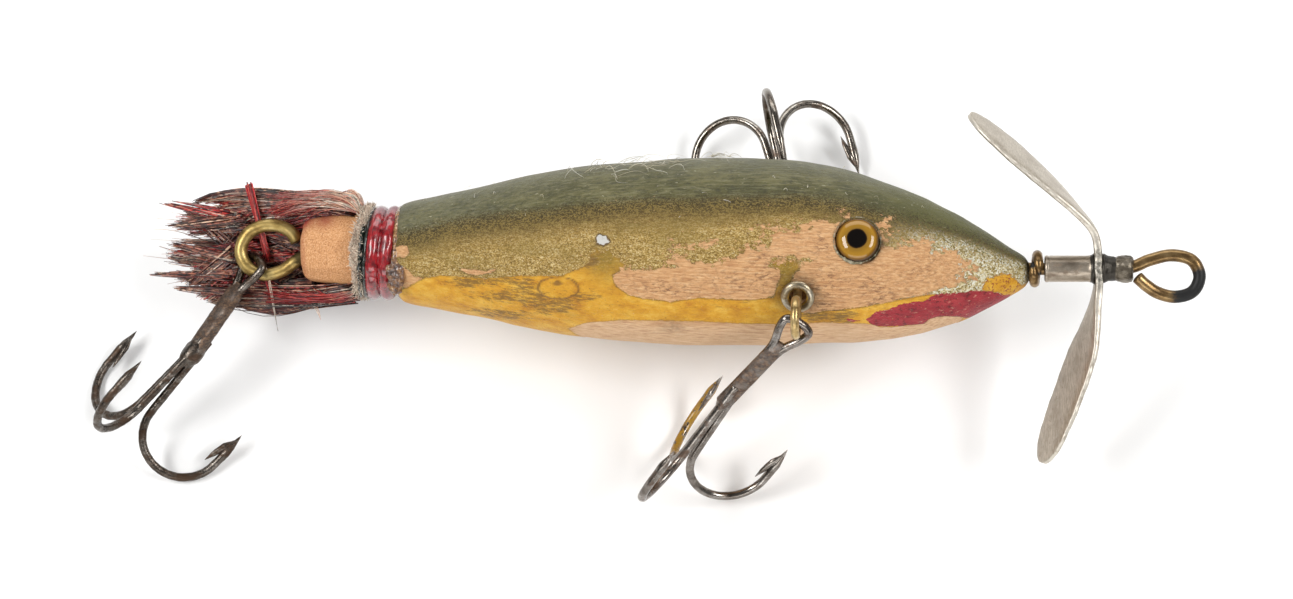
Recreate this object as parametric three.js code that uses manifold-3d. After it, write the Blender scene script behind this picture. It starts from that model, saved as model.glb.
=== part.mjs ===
// Hand-made wooden fishing lure: a carved body with glass eyes and a hair tail, three treble
// hooks on screw eyes, and a two-bladed propeller that turns on the wire at the nose.
// It lies on its far side, as it does when loose. Millimetres, +Z up.
//
// The lure's own frame has its origin at the nose: +X runs forward along the wire, +Y towards
// the fish's back and +Z towards the near flank. The lying frame has its origin on the table,
// under the point of the wire's line where the flank screw eyes sit.
import * as THREE from 'three';
import { mergeVertices } from 'three/addons/utils/BufferGeometryUtils.js';
import Module from 'manifold-3d';

const wasm = await Module();
wasm.setup();

// How the lure lies
const AXIS_HEIGHT = 16.6;
const NOSE_UP = 3.4;
const BACK_UP = 22.8;
const FLANK_STATION = -27.9;

// Clearance kept between pieces that touch on the real lure
const GAP = 0.3;
// Slivers finer than this are merged away after a join or a cut
const FINEST_DETAIL = 0.01;

// Wood: rows of distance behind the nose, height of the centre line, half height
const WOOD_SECTIONS = [
  [0.0, -0.4, 1.0],
  [0.5, -0.4, 1.75],
  [2.3, -0.38, 2.95],
  [5.9, -0.14, 5.1],
  [8.4, 0.0, 6.45],
  [10.8, 0.29, 7.55],
  [13.2, 0.54, 8.5],
  [15.7, 0.85, 9.3],
  [18.1, 1.1, 9.9],
  [21.5, 1.5, 10.6],
  [25.4, 1.9, 11.0],
  [30.0, 2.05, 11.4],
  [36.0, 2.1, 11.5],
  [42.6, 2.1, 11.4],
  [47.5, 2.1, 11.1],
  [52.5, 2.1, 10.7],
  [57.4, 2.15, 10.1],
  [62.4, 2.2, 9.2],
  [67.3, 2.2, 8.05],
  [72.3, 2.25, 7.1],
  [77.0, 2.3, 6.1],
  [77.6, 2.3, 5.6],
  [77.8, 2.3, 4.7],
  [82.4, 2.4, 4.5],
  [84.8, 2.4, 4.3],
  [88.4, 2.45, 3.7],
  [89.2, 2.5, 3.1],
  [89.4, 2.5, 2.6],
];
const WOOD_WIDTH = 0.97;
const WOOD_SIDES = 28;
const STUB_END = -89.4;
const STUB_CENTRE = 2.4;

// Glass eyes
const EYE_STATION = -20.5;
const EYE_HEIGHT = 3.4;
const EYE_RADIUS = 2.6;
const EYE_DEPTH = 1.8;
const EYE_DOME = 0.95;

// Thread, hide and hair at the tail
const BINDING_BORE = 4.7 + GAP;
const BINDING_RADIUS = 5.8;
const RED_BINDING = [-80.7, -78.1];
const BLACK_BINDING = [-82.0, -81.0];
const HIDE_STRIP = [-83.5, -82.3];
const HIDE_RADIUS = 5.75;
const HIDE_SWEEP = 300;
const HAIR_ROOT = -83.8;
const HAIR_RADIUS = 5.7;
const LOCK_WIDTH = 1.9;
const LOCK_THICKNESS = 0.78;
// Rows of angle around the tail from the near side over the back, then the lock's tip
const HAIR_LOCKS = [
  [58, [-98.5, 8.7, 1.6]],
  [88, [-104.5, 8.0, -0.8]],
  [118, [-102.5, 6.4, -3.6]],
  [148, [-108.9, 4.4, -4.5]],
  [178, [-107.6, 1.2, -5.3]],
  [208, [-105.0, -1.5, -5.0]],
  [238, [-103.8, -3.2, -3.6]],
  [268, [-96.0, -4.5, -0.8]],
  [298, [-93.5, -4.5, 1.6]],
];

// Screw eyes
const FLANK_WIRE = 0.52;
const FLANK_LOOP = 2.15;
const FLANK_BASE = [-27.6, -3.1, 10.0];
const FLANK_LEAN = 40;
const FLANK_SETBACK = 0.12;
const FLANK_LOOP_START = -62;
const FLANK_LOOP_SWEEP = 290;
const NEAR_NECK = 4.3;
const FAR_NECK = 3.72;
const SCREW_DEPTH = 7;
const HANGER_RING = 1.55;
const HANGER_WIRE = 0.5;
const TAIL_WIRE = 0.75;
const TAIL_SHANK_HEIGHT = 1.3;
// Middle of the tail ring's wire behind the stub: station and height
const TAIL_RING = [
  [-92.2, -0.1],
  [-94.4, -0.5],
  [-96.4, 0.4],
  [-97.2, 2.3],
  [-96.3, 4.3],
  [-94.3, 5.2],
  [-92.2, 5.0],
  [-90.4, 4.7],
];

// Treble hooks, each one soldered piece: an eye of doubled wire, a solder collar, three bends
const HOOK_WIRE = 0.5;
const HOOK_EYE = [
  [-0.05, -0.4],
  [0, 0.8],
  [0.5, 1.7],
  [1.8, 1.6],
  [3.9, 0.8],
];
const HOOK_LEG_START = 5.4;
const HOOK_LEG_SPREAD = 0.56;
const HOOK_COLLAR_RADIUS = 1.5;
const HOOK_COLLAR_LENGTH = 3.0;
const BEND_RADIUS = 5.15;
const BEND_CENTRE = [8.5, 6.2];
const POINT_END = [3.6, 11.4];
const POINT_LENGTH = 3.2;
const BARB_LENGTH = 2.4;
const BARB_RADIUS = 0.32;

// How each treble lies, in the lying frame: the offset of its eye's bar from the middle of the
// loop that it hangs on, the middle of its solder collar, the way the bends run on from there
// (heading on the table, dive below level), and the bends' angles around the shank, from the
// left of the heading over the top
const NEAR_TREBLE = {
  offset: [0.95, -0.45, -0.8],
  collar: [-8.5, -17.0, 15.7],
  heading: -136.5,
  dive: 43.6,
  bends: [310, 78, 241],
};
const FAR_TREBLE = {
  offset: [0.45, 0.65, -0.25],
  collar: [-1.65, 13.2, 5.0],
  heading: 104,
  dive: -9.8,
  bends: [331, 89, 205],
};
const TAIL_TREBLE = {
  offset: [-0.27, -0.22, -0.18],
  collar: [-74.9, -9.8, 8.55],
  heading: -133.6,
  dive: 17.1,
  bends: [332, 89, 210],
};
const TAIL_BAR = [-94.8, 1.5, 0];

// Nose: line wire, coil, propeller and collar
const LINE_WIRE = 0.75;
const SHAFT_IN_WOOD = 14;
// Middle of the line loop's wire ahead of the collar: station and height
const LINE_LOOP = [
  [12.6, 0.25],
  [14.4, 1.0],
  [17.3, 1.62],
  [19.7, 0.95],
  [20.55, -0.9],
  [19.8, -2.7],
  [17.8, -3.4],
  [15.4, -2.85],
  [13.9, -1.75],
];
const COIL_WIRE = 0.6;
const COIL_RADIUS = 1.65;
const COIL_SPAN = [0.75, 1.25];
const COIL_START = 100;
const COIL_SWEEP = 330;
const SLEEVE_SPAN = [2.2, 7.65];
const SLEEVE_RADIUS = 1.6;
const COLLAR_SPAN = [9.1, 12.4];
const COLLAR_RADIUS = 1.65;

// Propeller: one strip of sheet with a lens-shaped blade above and one below the hub, both
// swept back and twisted opposite ways, the lower one bent out further by hand. Each line is
// the middle of its blade from the hub out: station and height.
const BLADE_THICKNESS = 0.7;
const BLADE_HUB_WIDTH = 3.4;
const BLADE_CHORD = 8.0;
const UPPER_BLADE = {
  twist: -15,
  line: [[8.3, 0], [8.35, 1.7], [7.9, 4.3], [5.7, 7.1], [2.9, 9.9], [-1.15, 13.6], [-7.2, 18.9]],
};
const LOWER_BLADE = {
  twist: 24,
  line: [[8.3, 0], [8.4, -1.7], [7.9, -4.9], [7.1, -8.3], [5.6, -12.9], [3.9, -17.5], [1.6, -23.6]],
};

// How far a drill runs on past the face that it enters
const DRILL_RUN_OUT = 4;

const radians = THREE.MathUtils.degToRad;
const vector = (x, y, z) => new THREE.Vector3(x, y, z);

const MATERIALS = {
  paint: new THREE.MeshStandardMaterial({ color: 0x6b6a3f, roughness: 0.7 }),
  glass: new THREE.MeshStandardMaterial({ color: 0xc9a857, roughness: 0.05 }),
  redThread: new THREE.MeshStandardMaterial({ color: 0x9c2a2c, roughness: 0.35 }),
  blackThread: new THREE.MeshStandardMaterial({ color: 0x1d2420, roughness: 0.35 }),
  hide: new THREE.MeshStandardMaterial({ color: 0x77716a, roughness: 0.95 }),
  hair: new THREE.MeshStandardMaterial({ color: 0x5a2320, roughness: 0.85 }),
  brass: new THREE.MeshStandardMaterial({ color: 0xa08248, roughness: 0.35, metalness: 1 }),
  hookSteel: new THREE.MeshStandardMaterial({ color: 0x4c443d, roughness: 0.45, metalness: 1 }),
  ringSteel: new THREE.MeshStandardMaterial({ color: 0x8d8980, roughness: 0.4, metalness: 1 }),
  bladeSteel: new THREE.MeshStandardMaterial({ color: 0x8f877d, roughness: 0.45, metalness: 1 }),
  solder: new THREE.MeshStandardMaterial({ color: 0x9a948a, roughness: 0.5, metalness: 1 }),
};

// Geometry helpers

function positionsOnly(geometry) {
  const copy = geometry.clone();
  copy.deleteAttribute('normal');
  copy.deleteAttribute('uv');
  return mergeVertices(copy, 1e-4);
}

function toSolid(geometry) {
  const merged = positionsOnly(geometry);
  const mesh = new wasm.Mesh({
    numProp: 3,
    vertProperties: new Float32Array(merged.attributes.position.array),
    triVerts: new Uint32Array(merged.index.array),
  });
  return new wasm.Manifold(mesh);
}

function fromSolid(solid) {
  const mesh = solid.simplify(FINEST_DETAIL).getMesh();
  const geometry = new THREE.BufferGeometry();
  geometry.setAttribute('position', new THREE.BufferAttribute(mesh.vertProperties, 3));
  geometry.setIndex(new THREE.BufferAttribute(mesh.triVerts, 1));
  geometry.computeVertexNormals();
  return geometry;
}

function fuse(geometries) {
  return fromSolid(geometries.map(toSolid).reduce((whole, next) => whole.add(next)));
}

function cut(geometry, tools) {
  const whole = toSolid(geometry);
  return fromSolid(tools.map(toSolid).reduce((rest, tool) => rest.subtract(tool), whole));
}

// A profile of [radius, station along X] rows turned about the X axis
function turned(profile, sides) {
  const points = profile.map(([radius, station]) => new THREE.Vector2(radius, station));
  return new THREE.LatheGeometry(points, sides).rotateZ(-Math.PI / 2);
}

function rod(radius, from, to, sides = 8) {
  return turned([[0, from], [radius, from], [radius, to], [0, to]], sides);
}

// Round wire through a list of points
function wire(points, radius, steps, sides = 8) {
  const section = new THREE.Shape();
  for (let i = 0; i < sides; i++) {
    const angle = (i / sides) * 2 * Math.PI;
    const x = radius * Math.cos(angle);
    const y = radius * Math.sin(angle);
    if (i === 0) section.moveTo(x, y);
    else section.lineTo(x, y);
  }
  const extrudePath = new THREE.CatmullRomCurve3(points, false, 'centripetal');
  return new THREE.ExtrudeGeometry(section, { steps, extrudePath, bevelEnabled: false });
}

// A skin over closed rings of points that all have the same count, closed at both ends
function loft(rings) {
  const count = rings[0].length;
  const positions = rings.flat().flatMap((point) => [point.x, point.y, point.z]);
  const index = [];
  for (let row = 0; row + 1 < rings.length; row++) {
    for (let i = 0; i < count; i++) {
      const next = (i + 1) % count;
      const a = row * count + i;
      const b = row * count + next;
      index.push(a, b, a + count, b, b + count, a + count);
    }
  }
  for (const [row, first, second] of [[0, 1, 0], [rings.length - 1, 0, 1]]) {
    const centre = rings[row].reduce((sum, point) => sum.add(point), vector(0, 0, 0)).divideScalar(count);
    const hub = positions.length / 3;
    positions.push(centre.x, centre.y, centre.z);
    for (let i = 0; i < count; i++) {
      const edge = [row * count + i, row * count + ((i + 1) % count)];
      index.push(edge[first], edge[second], hub);
    }
  }
  const geometry = new THREE.BufferGeometry();
  geometry.setAttribute('position', new THREE.Float32BufferAttribute(positions, 3));
  geometry.setIndex(index);
  return geometry;
}

// Turns and moves a geometry made along +X so that +X runs from one point towards another
function aim(geometry, from, towards) {
  const direction = towards.clone().sub(from).normalize();
  const turn = new THREE.Quaternion().setFromUnitVectors(vector(1, 0, 0), direction);
  return geometry.applyQuaternion(turn).translate(from.x, from.y, from.z);
}

function piece(name, geometry, material) {
  const mesh = new THREE.Mesh(geometry, material);
  mesh.name = name;
  return mesh;
}

// The same place or direction on the near flank (side 1) or the far flank (side -1)
const mirrored = (point, side) => vector(point.x, point.y, side * point.z);

// Wood

// Centre height and half height of the wood at a station
function woodAt(station) {
  const behind = THREE.MathUtils.clamp(-station, 0, WOOD_SECTIONS.at(-2)[0]);
  const next = WOOD_SECTIONS.findIndex((row) => row[0] > behind);
  const [ahead, aft] = [WOOD_SECTIONS[next - 1], WOOD_SECTIONS[next]];
  const share = (behind - ahead[0]) / (aft[0] - ahead[0]);
  return [1, 2].map((column) => THREE.MathUtils.lerp(ahead[column], aft[column], share));
}

// Point on the wood's near surface and the direction square to it
function woodSurface(station, height) {
  const [centre, radius] = woodAt(station);
  const rise = (height - centre) / radius;
  const depth = WOOD_WIDTH * radius * Math.sqrt(1 - rise * rise);
  const normal = vector(0, (height - centre) * WOOD_WIDTH ** 2, depth).normalize();
  return { point: vector(station, height, depth), normal };
}

// Foot and direction of the near flank's screw eye
const lean = radians(FLANK_LEAN);
const flankBase = vector(...FLANK_BASE);
const flankAxis = vector(-FLANK_SETBACK, -Math.sin(lean), Math.cos(lean)).normalize();

function eyeSeat(side) {
  const { point, normal } = woodSurface(EYE_STATION, EYE_HEIGHT);
  const seat = mirrored(point, side);
  return { seat, outward: seat.clone().add(mirrored(normal, side)) };
}

function woodBody() {
  const profile = WOOD_SECTIONS.map(([behind, , radius]) => [radius, -behind]).reverse();
  profile.unshift([0, profile[0][1]]);
  profile.push([0, 0]);
  const blank = turned(profile, WOOD_SIDES);
  const position = blank.attributes.position;
  for (let i = 0; i < position.count; i++) {
    const [centre] = woodAt(position.getX(i));
    position.setY(i, position.getY(i) + centre);
    position.setZ(i, position.getZ(i) * WOOD_WIDTH);
  }
  const shaftHole = rod(LINE_WIRE + GAP, -SHAFT_IN_WOOD - GAP, DRILL_RUN_OUT);
  const tailHole = rod(TAIL_WIRE + GAP, STUB_END - DRILL_RUN_OUT, STUB_END + SCREW_DEPTH + GAP);
  const holes = [shaftHole, tailHole.translate(0, TAIL_SHANK_HEIGHT, 0)];
  for (const side of [1, -1]) {
    const { seat, outward } = eyeSeat(side);
    holes.push(aim(rod(EYE_RADIUS + GAP, -EYE_DEPTH - GAP, DRILL_RUN_OUT, 16), seat, outward));
    const base = mirrored(flankBase, side);
    const tip = base.clone().add(mirrored(flankAxis, side));
    holes.push(aim(rod(FLANK_WIRE + GAP, -SCREW_DEPTH - GAP, DRILL_RUN_OUT), base, tip));
  }
  return cut(blank, holes);
}

function glassEye(side) {
  const profile = [
    [0, -EYE_DEPTH],
    [EYE_RADIUS - 0.4, -EYE_DEPTH],
    [EYE_RADIUS, -EYE_DEPTH + 0.7],
    [EYE_RADIUS, -0.1],
    [EYE_RADIUS * 0.86, 0.45],
    [EYE_RADIUS * 0.5, EYE_DOME - 0.12],
    [0, EYE_DOME],
  ];
  const { seat, outward } = eyeSeat(side);
  return aim(turned(profile, 14), seat, outward);
}

// Tail dressing

// Wound thread: a ring around the stub with rounded ridges along its length
function binding([from, to], ridges) {
  const profile = [[BINDING_BORE, to], [BINDING_BORE, from]];
  const valley = BINDING_RADIUS - 0.45;
  for (let i = 0; i < ridges; i++) {
    const start = THREE.MathUtils.lerp(from, to, i / ridges);
    const span = (to - from) / ridges;
    profile.push([valley, start + 0.04 * span]);
    profile.push([BINDING_RADIUS, start + 0.3 * span]);
    profile.push([BINDING_RADIUS, start + 0.7 * span]);
    profile.push([valley, start + 0.96 * span]);
  }
  profile.push([BINDING_BORE, to]);
  return turned(profile, 20).translate(0, STUB_CENTRE, 0);
}

// A strip of hide around the stub, open on the far side
function hideStrip() {
  const section = new THREE.Shape();
  const half = radians(HIDE_SWEEP) / 2;
  section.absarc(0, 0, HIDE_RADIUS, -half, half, false);
  section.absarc(0, 0, BINDING_BORE - 0.15, half, -half, true);
  const depth = HIDE_STRIP[1] - HIDE_STRIP[0];
  const strip = new THREE.ExtrudeGeometry(section, { depth, curveSegments: 16, bevelEnabled: false });
  return strip.rotateY(-Math.PI / 2).translate(HIDE_STRIP[1], STUB_CENTRE, 0);
}

// One lock of hair: a flat tapering tube, wide around the tail and thin away from it
function lock(angle, tip) {
  const outward = vector(0, Math.sin(radians(angle)), Math.cos(radians(angle)));
  const around = vector(0, outward.z, -outward.y);
  const root = vector(HAIR_ROOT, STUB_CENTRE, 0).addScaledVector(outward, HAIR_RADIUS);
  const swell = root.clone().lerp(tip, 0.45).addScaledVector(outward, 0.5);
  const path = new THREE.QuadraticBezierCurve3(root, swell, tip);
  const rings = [];
  const steps = 5;
  const sides = 6;
  for (let i = 0; i <= steps; i++) {
    const along = i / steps;
    const taper = 1 - 0.8 * along ** 2.5;
    const centre = path.getPoint(along);
    const ring = [];
    for (let k = 0; k < sides; k++) {
      const turn = -(k / sides) * 2 * Math.PI;
      const point = centre.clone();
      point.addScaledVector(around, LOCK_WIDTH * taper * Math.cos(turn));
      point.addScaledVector(outward, LOCK_THICKNESS * taper * Math.sin(turn));
      ring.push(point);
    }
    rings.push(ring);
  }
  return loft(rings);
}

function hairTail() {
  return fuse(HAIR_LOCKS.map(([angle, tip]) => lock(angle, vector(...tip))));
}

// Screw eyes

// Open oval ring at the tail with its shank in the stub, lying in the plane of back and belly
function tailScrewEye() {
  const inWood = [STUB_END + SCREW_DEPTH, STUB_END + SCREW_DEPTH / 3, STUB_END];
  const points = inWood.map((station) => vector(station, TAIL_SHANK_HEIGHT, 0));
  points.push(...TAIL_RING.map(([x, y]) => vector(x, y, 0)));
  return wire(points, TAIL_WIRE, 24);
}

// Middle of a flank loop, a neck's length out from the wood
function flankLoopCentre(side, neck) {
  return mirrored(flankBase, side).addScaledVector(mirrored(flankAxis, side), neck);
}

// Round eye on the flank: shank in the wood, neck, then a loop square to the line wire
function flankScrewEye(side, neck) {
  const axis = mirrored(flankAxis, side);
  const across = vector(0, -axis.z, axis.y).normalize();
  const base = mirrored(flankBase, side);
  const centre = flankLoopCentre(side, neck);
  const reaches = [-SCREW_DEPTH, -SCREW_DEPTH / 2, 0, (neck - FLANK_LOOP) * 0.6];
  const points = reaches.map((reach) => base.clone().addScaledVector(axis, reach));
  const arcs = 9;
  for (let i = 0; i <= arcs; i++) {
    const turn = radians(FLANK_LOOP_START + (FLANK_LOOP_SWEEP * i) / arcs);
    const point = centre.clone().addScaledVector(across, FLANK_LOOP * Math.cos(turn));
    points.push(point.addScaledVector(axis, FLANK_LOOP * Math.sin(turn)));
  }
  return wire(points, FLANK_WIRE, 24, 6);
}

// Plain ring laid flat on the flank around the screw eye's foot
function hangerRing(side) {
  const { point, normal } = woodSurface(flankBase.x, flankBase.y);
  const centre = mirrored(point.addScaledVector(normal, HANGER_WIRE + GAP), side);
  const outward = centre.clone().add(mirrored(normal, side));
  const ring = new THREE.TorusGeometry(HANGER_RING, HANGER_WIRE, 6, 14).rotateY(Math.PI / 2);
  return aim(ring, centre, outward);
}

// Treble hooks

// A hook from where its eye's bar passes, in the plane square to the loop's normal
function trebleHook({ collar, heading, dive, bends }, bar, loopNormal) {
  const lump = vector(...collar);
  const shank = lump.clone().sub(bar);
  const length = shank.length();
  shank.normalize();
  const across = loopNormal.clone().addScaledVector(shank, -loopNormal.dot(shank)).normalize();
  const alongShank = (s, w) => bar.clone().addScaledVector(shank, s).addScaledVector(across, w);
  const outline = [...HOOK_EYE, [HOOK_LEG_START, HOOK_LEG_SPREAD], [length, HOOK_LEG_SPREAD]];
  const parts = [1, -1].map((side) => {
    const points = outline.map(([s, w]) => alongShank(s, w * side));
    return wire(points, HOOK_WIRE, 9, 6);
  });
  const solder = new THREE.SphereGeometry(1, 7, 5);
  solder.scale(HOOK_COLLAR_LENGTH / 2, HOOK_COLLAR_RADIUS, HOOK_COLLAR_RADIUS);
  parts.push(aim(solder, lump, lump.clone().add(shank)));

  const forward = vector(Math.cos(radians(heading)), Math.sin(radians(heading)), 0);
  const left = vector(-forward.y, forward.x, 0);
  forward.applyAxisAngle(left, radians(dive));
  const top = forward.clone().cross(left);
  for (const angle of bends) {
    const away = left.clone().multiplyScalar(Math.cos(radians(angle)));
    away.addScaledVector(top, Math.sin(radians(angle)));
    const at = (s, r) => lump.clone().addScaledVector(forward, s).addScaledVector(away, r);
    parts.push(...hookBend(at));
  }
  return fuse(parts);
}

// A cone standing on one point with its tip towards another
function spike(radius, length, sides, from, towards) {
  const cone = new THREE.ConeGeometry(radius, length, sides).rotateZ(-Math.PI / 2);
  return aim(cone.translate(length / 2, 0, 0), from, towards);
}

// One bend as a function of reach past the collar and distance from the shank's line
function hookBend(at) {
  const [centreS, centreR] = BEND_CENTRE;
  const points = [at(-0.4, 0.6), at(4, 0.75)];
  const arcs = 8;
  for (let i = 0; i <= arcs; i++) {
    const turn = radians(-90 + (180 * i) / arcs);
    points.push(at(centreS + BEND_RADIUS * Math.cos(turn), centreR + BEND_RADIUS * Math.sin(turn)));
  }
  const [endS, endR] = POINT_END;
  const baseS = endS + POINT_LENGTH;
  points.push(at(baseS, endR));
  const point = spike(HOOK_WIRE, POINT_LENGTH, 6, at(baseS + 0.05, endR), at(endS, endR));
  const barbRoot = at(baseS - 0.6, endR - 0.05);
  const barbTip = at(baseS + BARB_LENGTH * 0.75, endR - 1.15);
  const barb = spike(BARB_RADIUS, BARB_LENGTH, 5, barbRoot, barbTip);
  return [wire(points, HOOK_WIRE, 13, 6), point, barb];
}

// Nose

// Shaft through the propeller, then the line loop and its cut end
function lineWire() {
  const shaft = [-SHAFT_IN_WOOD, 0, COLLAR_SPAN[0]].map((station) => vector(station, 0, 0));
  return wire([...shaft, ...LINE_LOOP.map(([x, y]) => vector(x, y, 0))], LINE_WIRE, 28);
}

// One open turn of wire around the shaft, its two ends set apart
function noseCoil() {
  const points = [];
  const steps = 14;
  for (let i = 0; i <= steps; i++) {
    const share = i / steps;
    const turn = radians(COIL_START + COIL_SWEEP * share);
    const station = THREE.MathUtils.lerp(...COIL_SPAN, share);
    points.push(vector(station, COIL_RADIUS * Math.sin(turn), COIL_RADIUS * Math.cos(turn)));
  }
  return wire(points, COIL_WIRE, 18, 6);
}

function sleeve() {
  const bore = LINE_WIRE + GAP;
  const [from, to] = SLEEVE_SPAN;
  return turned([[bore, to], [bore, from], [SLEEVE_RADIUS, from], [SLEEVE_RADIUS, to], [bore, to]], 16);
}

function solderCollar() {
  const bore = LINE_WIRE + GAP;
  const [from, to] = COLLAR_SPAN;
  const rim = COLLAR_RADIUS - 0.2;
  const profile = [
    [bore, to - 0.5],
    [bore, from],
    [rim, from],
    [COLLAR_RADIUS, from + 0.25],
    [COLLAR_RADIUS, to - 0.9],
    [rim, to - 0.3],
    [bore + 0.1, to],
    [bore, to - 0.5],
  ];
  return turned(profile, 16);
}

// Sections of one blade from the hub to its tip
function bladeRings({ twist, line }) {
  const points = line.map(([x, y]) => vector(x, y, 0));
  const path = new THREE.CatmullRomCurve3(points, false, 'centripetal');
  const rings = [];
  const steps = 12;
  for (let i = 0; i <= steps; i++) {
    const along = i / steps;
    const centre = path.getPointAt(along);
    const tangent = path.getTangentAt(along);
    if (line.at(-1)[1] < 0) tangent.negate();
    const face = vector(tangent.y, -tangent.x, 0);
    const lens = Math.sin(Math.PI * Math.min(1, 0.08 + 0.92 * along)) ** 0.8;
    const root = Math.max(0, 1 - along / 0.22);
    const half = Math.max(BLADE_HUB_WIDTH * root, BLADE_CHORD * lens, 0.8) / 2;
    const turn = radians(twist) * Math.min(1, along / 0.25);
    const chord = vector(0, 0, Math.cos(turn)).addScaledVector(face, Math.sin(turn));
    const normal = chord.clone().cross(tangent).normalize();
    const thick = (BLADE_THICKNESS / 2) * (i === steps ? 0.5 : 1);
    const corners = [[-half, 0.6], [0, 1], [half, 0.6], [half, -0.6], [0, -1], [-half, -0.6]];
    rings.push(corners.map(([w, t]) => {
      return centre.clone().addScaledVector(chord, w).addScaledVector(normal, t * thick);
    }));
  }
  return rings;
}

function propellerBlade() {
  const upper = bladeRings(UPPER_BLADE);
  const lower = bladeRings(LOWER_BLADE);
  const strip = loft([...lower.slice(1).reverse(), ...upper]);
  return cut(strip, [rod(LINE_WIRE + GAP, 4, 12, 12)]);
}

// Assembly

const lure = new THREE.Group();
lure.rotation.set(radians(BACK_UP), radians(-NOSE_UP), 0, 'YXZ');
const hinge = vector(FLANK_STATION, 0, 0).applyEuler(lure.rotation);
lure.position.set(-hinge.x, -hinge.y, AXIS_HEIGHT - hinge.z);
lure.updateMatrix();
const toLying = (point) => point.clone().applyMatrix4(lure.matrix);
const turnToLying = (direction) => direction.clone().applyEuler(lure.rotation);

lure.add(piece('wood_body', woodBody(), MATERIALS.paint));
lure.add(piece('red_thread_binding', binding(RED_BINDING, 2), MATERIALS.redThread));
lure.add(piece('black_thread_binding', binding(BLACK_BINDING, 1), MATERIALS.blackThread));
lure.add(piece('hide_strip', hideStrip(), MATERIALS.hide));
lure.add(piece('hair_tail', hairTail(), MATERIALS.hair));
lure.add(piece('tail_screw_eye', tailScrewEye(), MATERIALS.brass));
for (const [side, label, neck] of [[1, 'near', NEAR_NECK], [-1, 'far', FAR_NECK]]) {
  lure.add(piece(`glass_eye_${label}`, glassEye(side), MATERIALS.glass));
  lure.add(piece(`flank_screw_eye_${label}`, flankScrewEye(side, neck), MATERIALS.brass));
  lure.add(piece(`hanger_ring_${label}`, hangerRing(side), MATERIALS.ringSteel));
}
lure.add(piece('line_wire', lineWire(), MATERIALS.brass));
lure.add(piece('nose_coil', noseCoil(), MATERIALS.brass));
lure.add(piece('propeller_sleeve', sleeve(), MATERIALS.bladeSteel));
lure.add(piece('propeller_blade', propellerBlade(), MATERIALS.bladeSteel));
lure.add(piece('solder_collar', solderCollar(), MATERIALS.solder));

const lying = new THREE.Group();
lying.add(lure);
const wireLine = turnToLying(vector(1, 0, 0));
const flankNormal = turnToLying(vector(0, 0, 1));
const hanging = [
  ['treble_near', NEAR_TREBLE, flankLoopCentre(1, NEAR_NECK), wireLine],
  ['treble_far', FAR_TREBLE, flankLoopCentre(-1, FAR_NECK), wireLine],
  ['treble_tail', TAIL_TREBLE, vector(...TAIL_BAR), flankNormal],
];
for (const [name, pose, loopCentre, loopNormal] of hanging) {
  const bar = toLying(loopCentre).add(vector(...pose.offset));
  lying.add(piece(name, trebleHook(pose, bar, loopNormal), MATERIALS.hookSteel));
}

// Origin under the middle of the whole lure's box, on the table
const group = new THREE.Group();
group.add(lying);
group.updateMatrixWorld(true);
const box = new THREE.Box3().setFromObject(group, true);
lying.position.set(-(box.min.x + box.max.x) / 2, -(box.min.y + box.max.y) / 2, -box.min.z);
group.updateMatrixWorld(true);

export default group;
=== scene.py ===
"""A worn wooden fishing lure with glass eyes, a hair tail, treble hooks and a nose propeller.

Shapes are worked out in millimetres. The lure's own frame has its origin at the nose: X runs
forward along the wire, Y towards the fish's back and Z towards the near flank. The rest frame
is the one that the lure lies in, with +Z up.
"""
import math

import bpy
import numpy as np
from mathutils import Matrix


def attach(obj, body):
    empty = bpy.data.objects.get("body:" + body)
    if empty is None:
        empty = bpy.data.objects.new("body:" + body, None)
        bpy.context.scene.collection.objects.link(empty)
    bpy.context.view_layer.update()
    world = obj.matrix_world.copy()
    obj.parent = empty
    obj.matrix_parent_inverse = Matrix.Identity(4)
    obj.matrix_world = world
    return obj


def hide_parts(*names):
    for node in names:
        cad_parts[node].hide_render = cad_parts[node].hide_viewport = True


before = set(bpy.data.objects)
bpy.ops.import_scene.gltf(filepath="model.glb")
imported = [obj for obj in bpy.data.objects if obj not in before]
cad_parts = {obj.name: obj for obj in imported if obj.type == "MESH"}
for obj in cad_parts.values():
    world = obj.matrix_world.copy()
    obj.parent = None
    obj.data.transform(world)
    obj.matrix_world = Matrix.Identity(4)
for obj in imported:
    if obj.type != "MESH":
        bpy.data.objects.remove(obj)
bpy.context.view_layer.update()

MM = 0.001
NOSE_UP = math.radians(3.4)
BACK_UP = math.radians(22.8)
NOSE = np.array([47.58761, 0.37439, 18.54518])
LYING = np.array([19.73672, 0.37439, 0.29053])
LURE_AXES = np.array([
    [math.cos(NOSE_UP), 0.0, math.sin(NOSE_UP)],
    [-math.sin(NOSE_UP) * math.sin(BACK_UP), math.cos(BACK_UP), math.cos(NOSE_UP) * math.sin(BACK_UP)],
    [-math.sin(NOSE_UP) * math.cos(BACK_UP), -math.sin(BACK_UP), math.cos(NOSE_UP) * math.cos(BACK_UP)],
])
FORWARD, SPINEWARD, NEARWARD = LURE_AXES
ALONG = np.array([1.0, 0.0, 0.0])
CHANCE = np.random.default_rng(41)


def at_rest(points):
    """Lure frame to rest frame: the nose point plus each coordinate along its own axis."""
    return NOSE + np.asarray(points, float) @ LURE_AXES


def unit(vectors):
    """Vectors divided by their lengths."""
    vectors = np.asarray(vectors, float)
    return vectors / np.linalg.norm(vectors, axis=-1, keepdims=True)


def ease(values, low, high):
    """0 below low, 1 above high, and 3t^2 - 2t^3 between them."""
    t = np.clip((values - low) / (high - low), 0.0, 1.0)
    return t * t * (3.0 - 2.0 * t)


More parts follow.
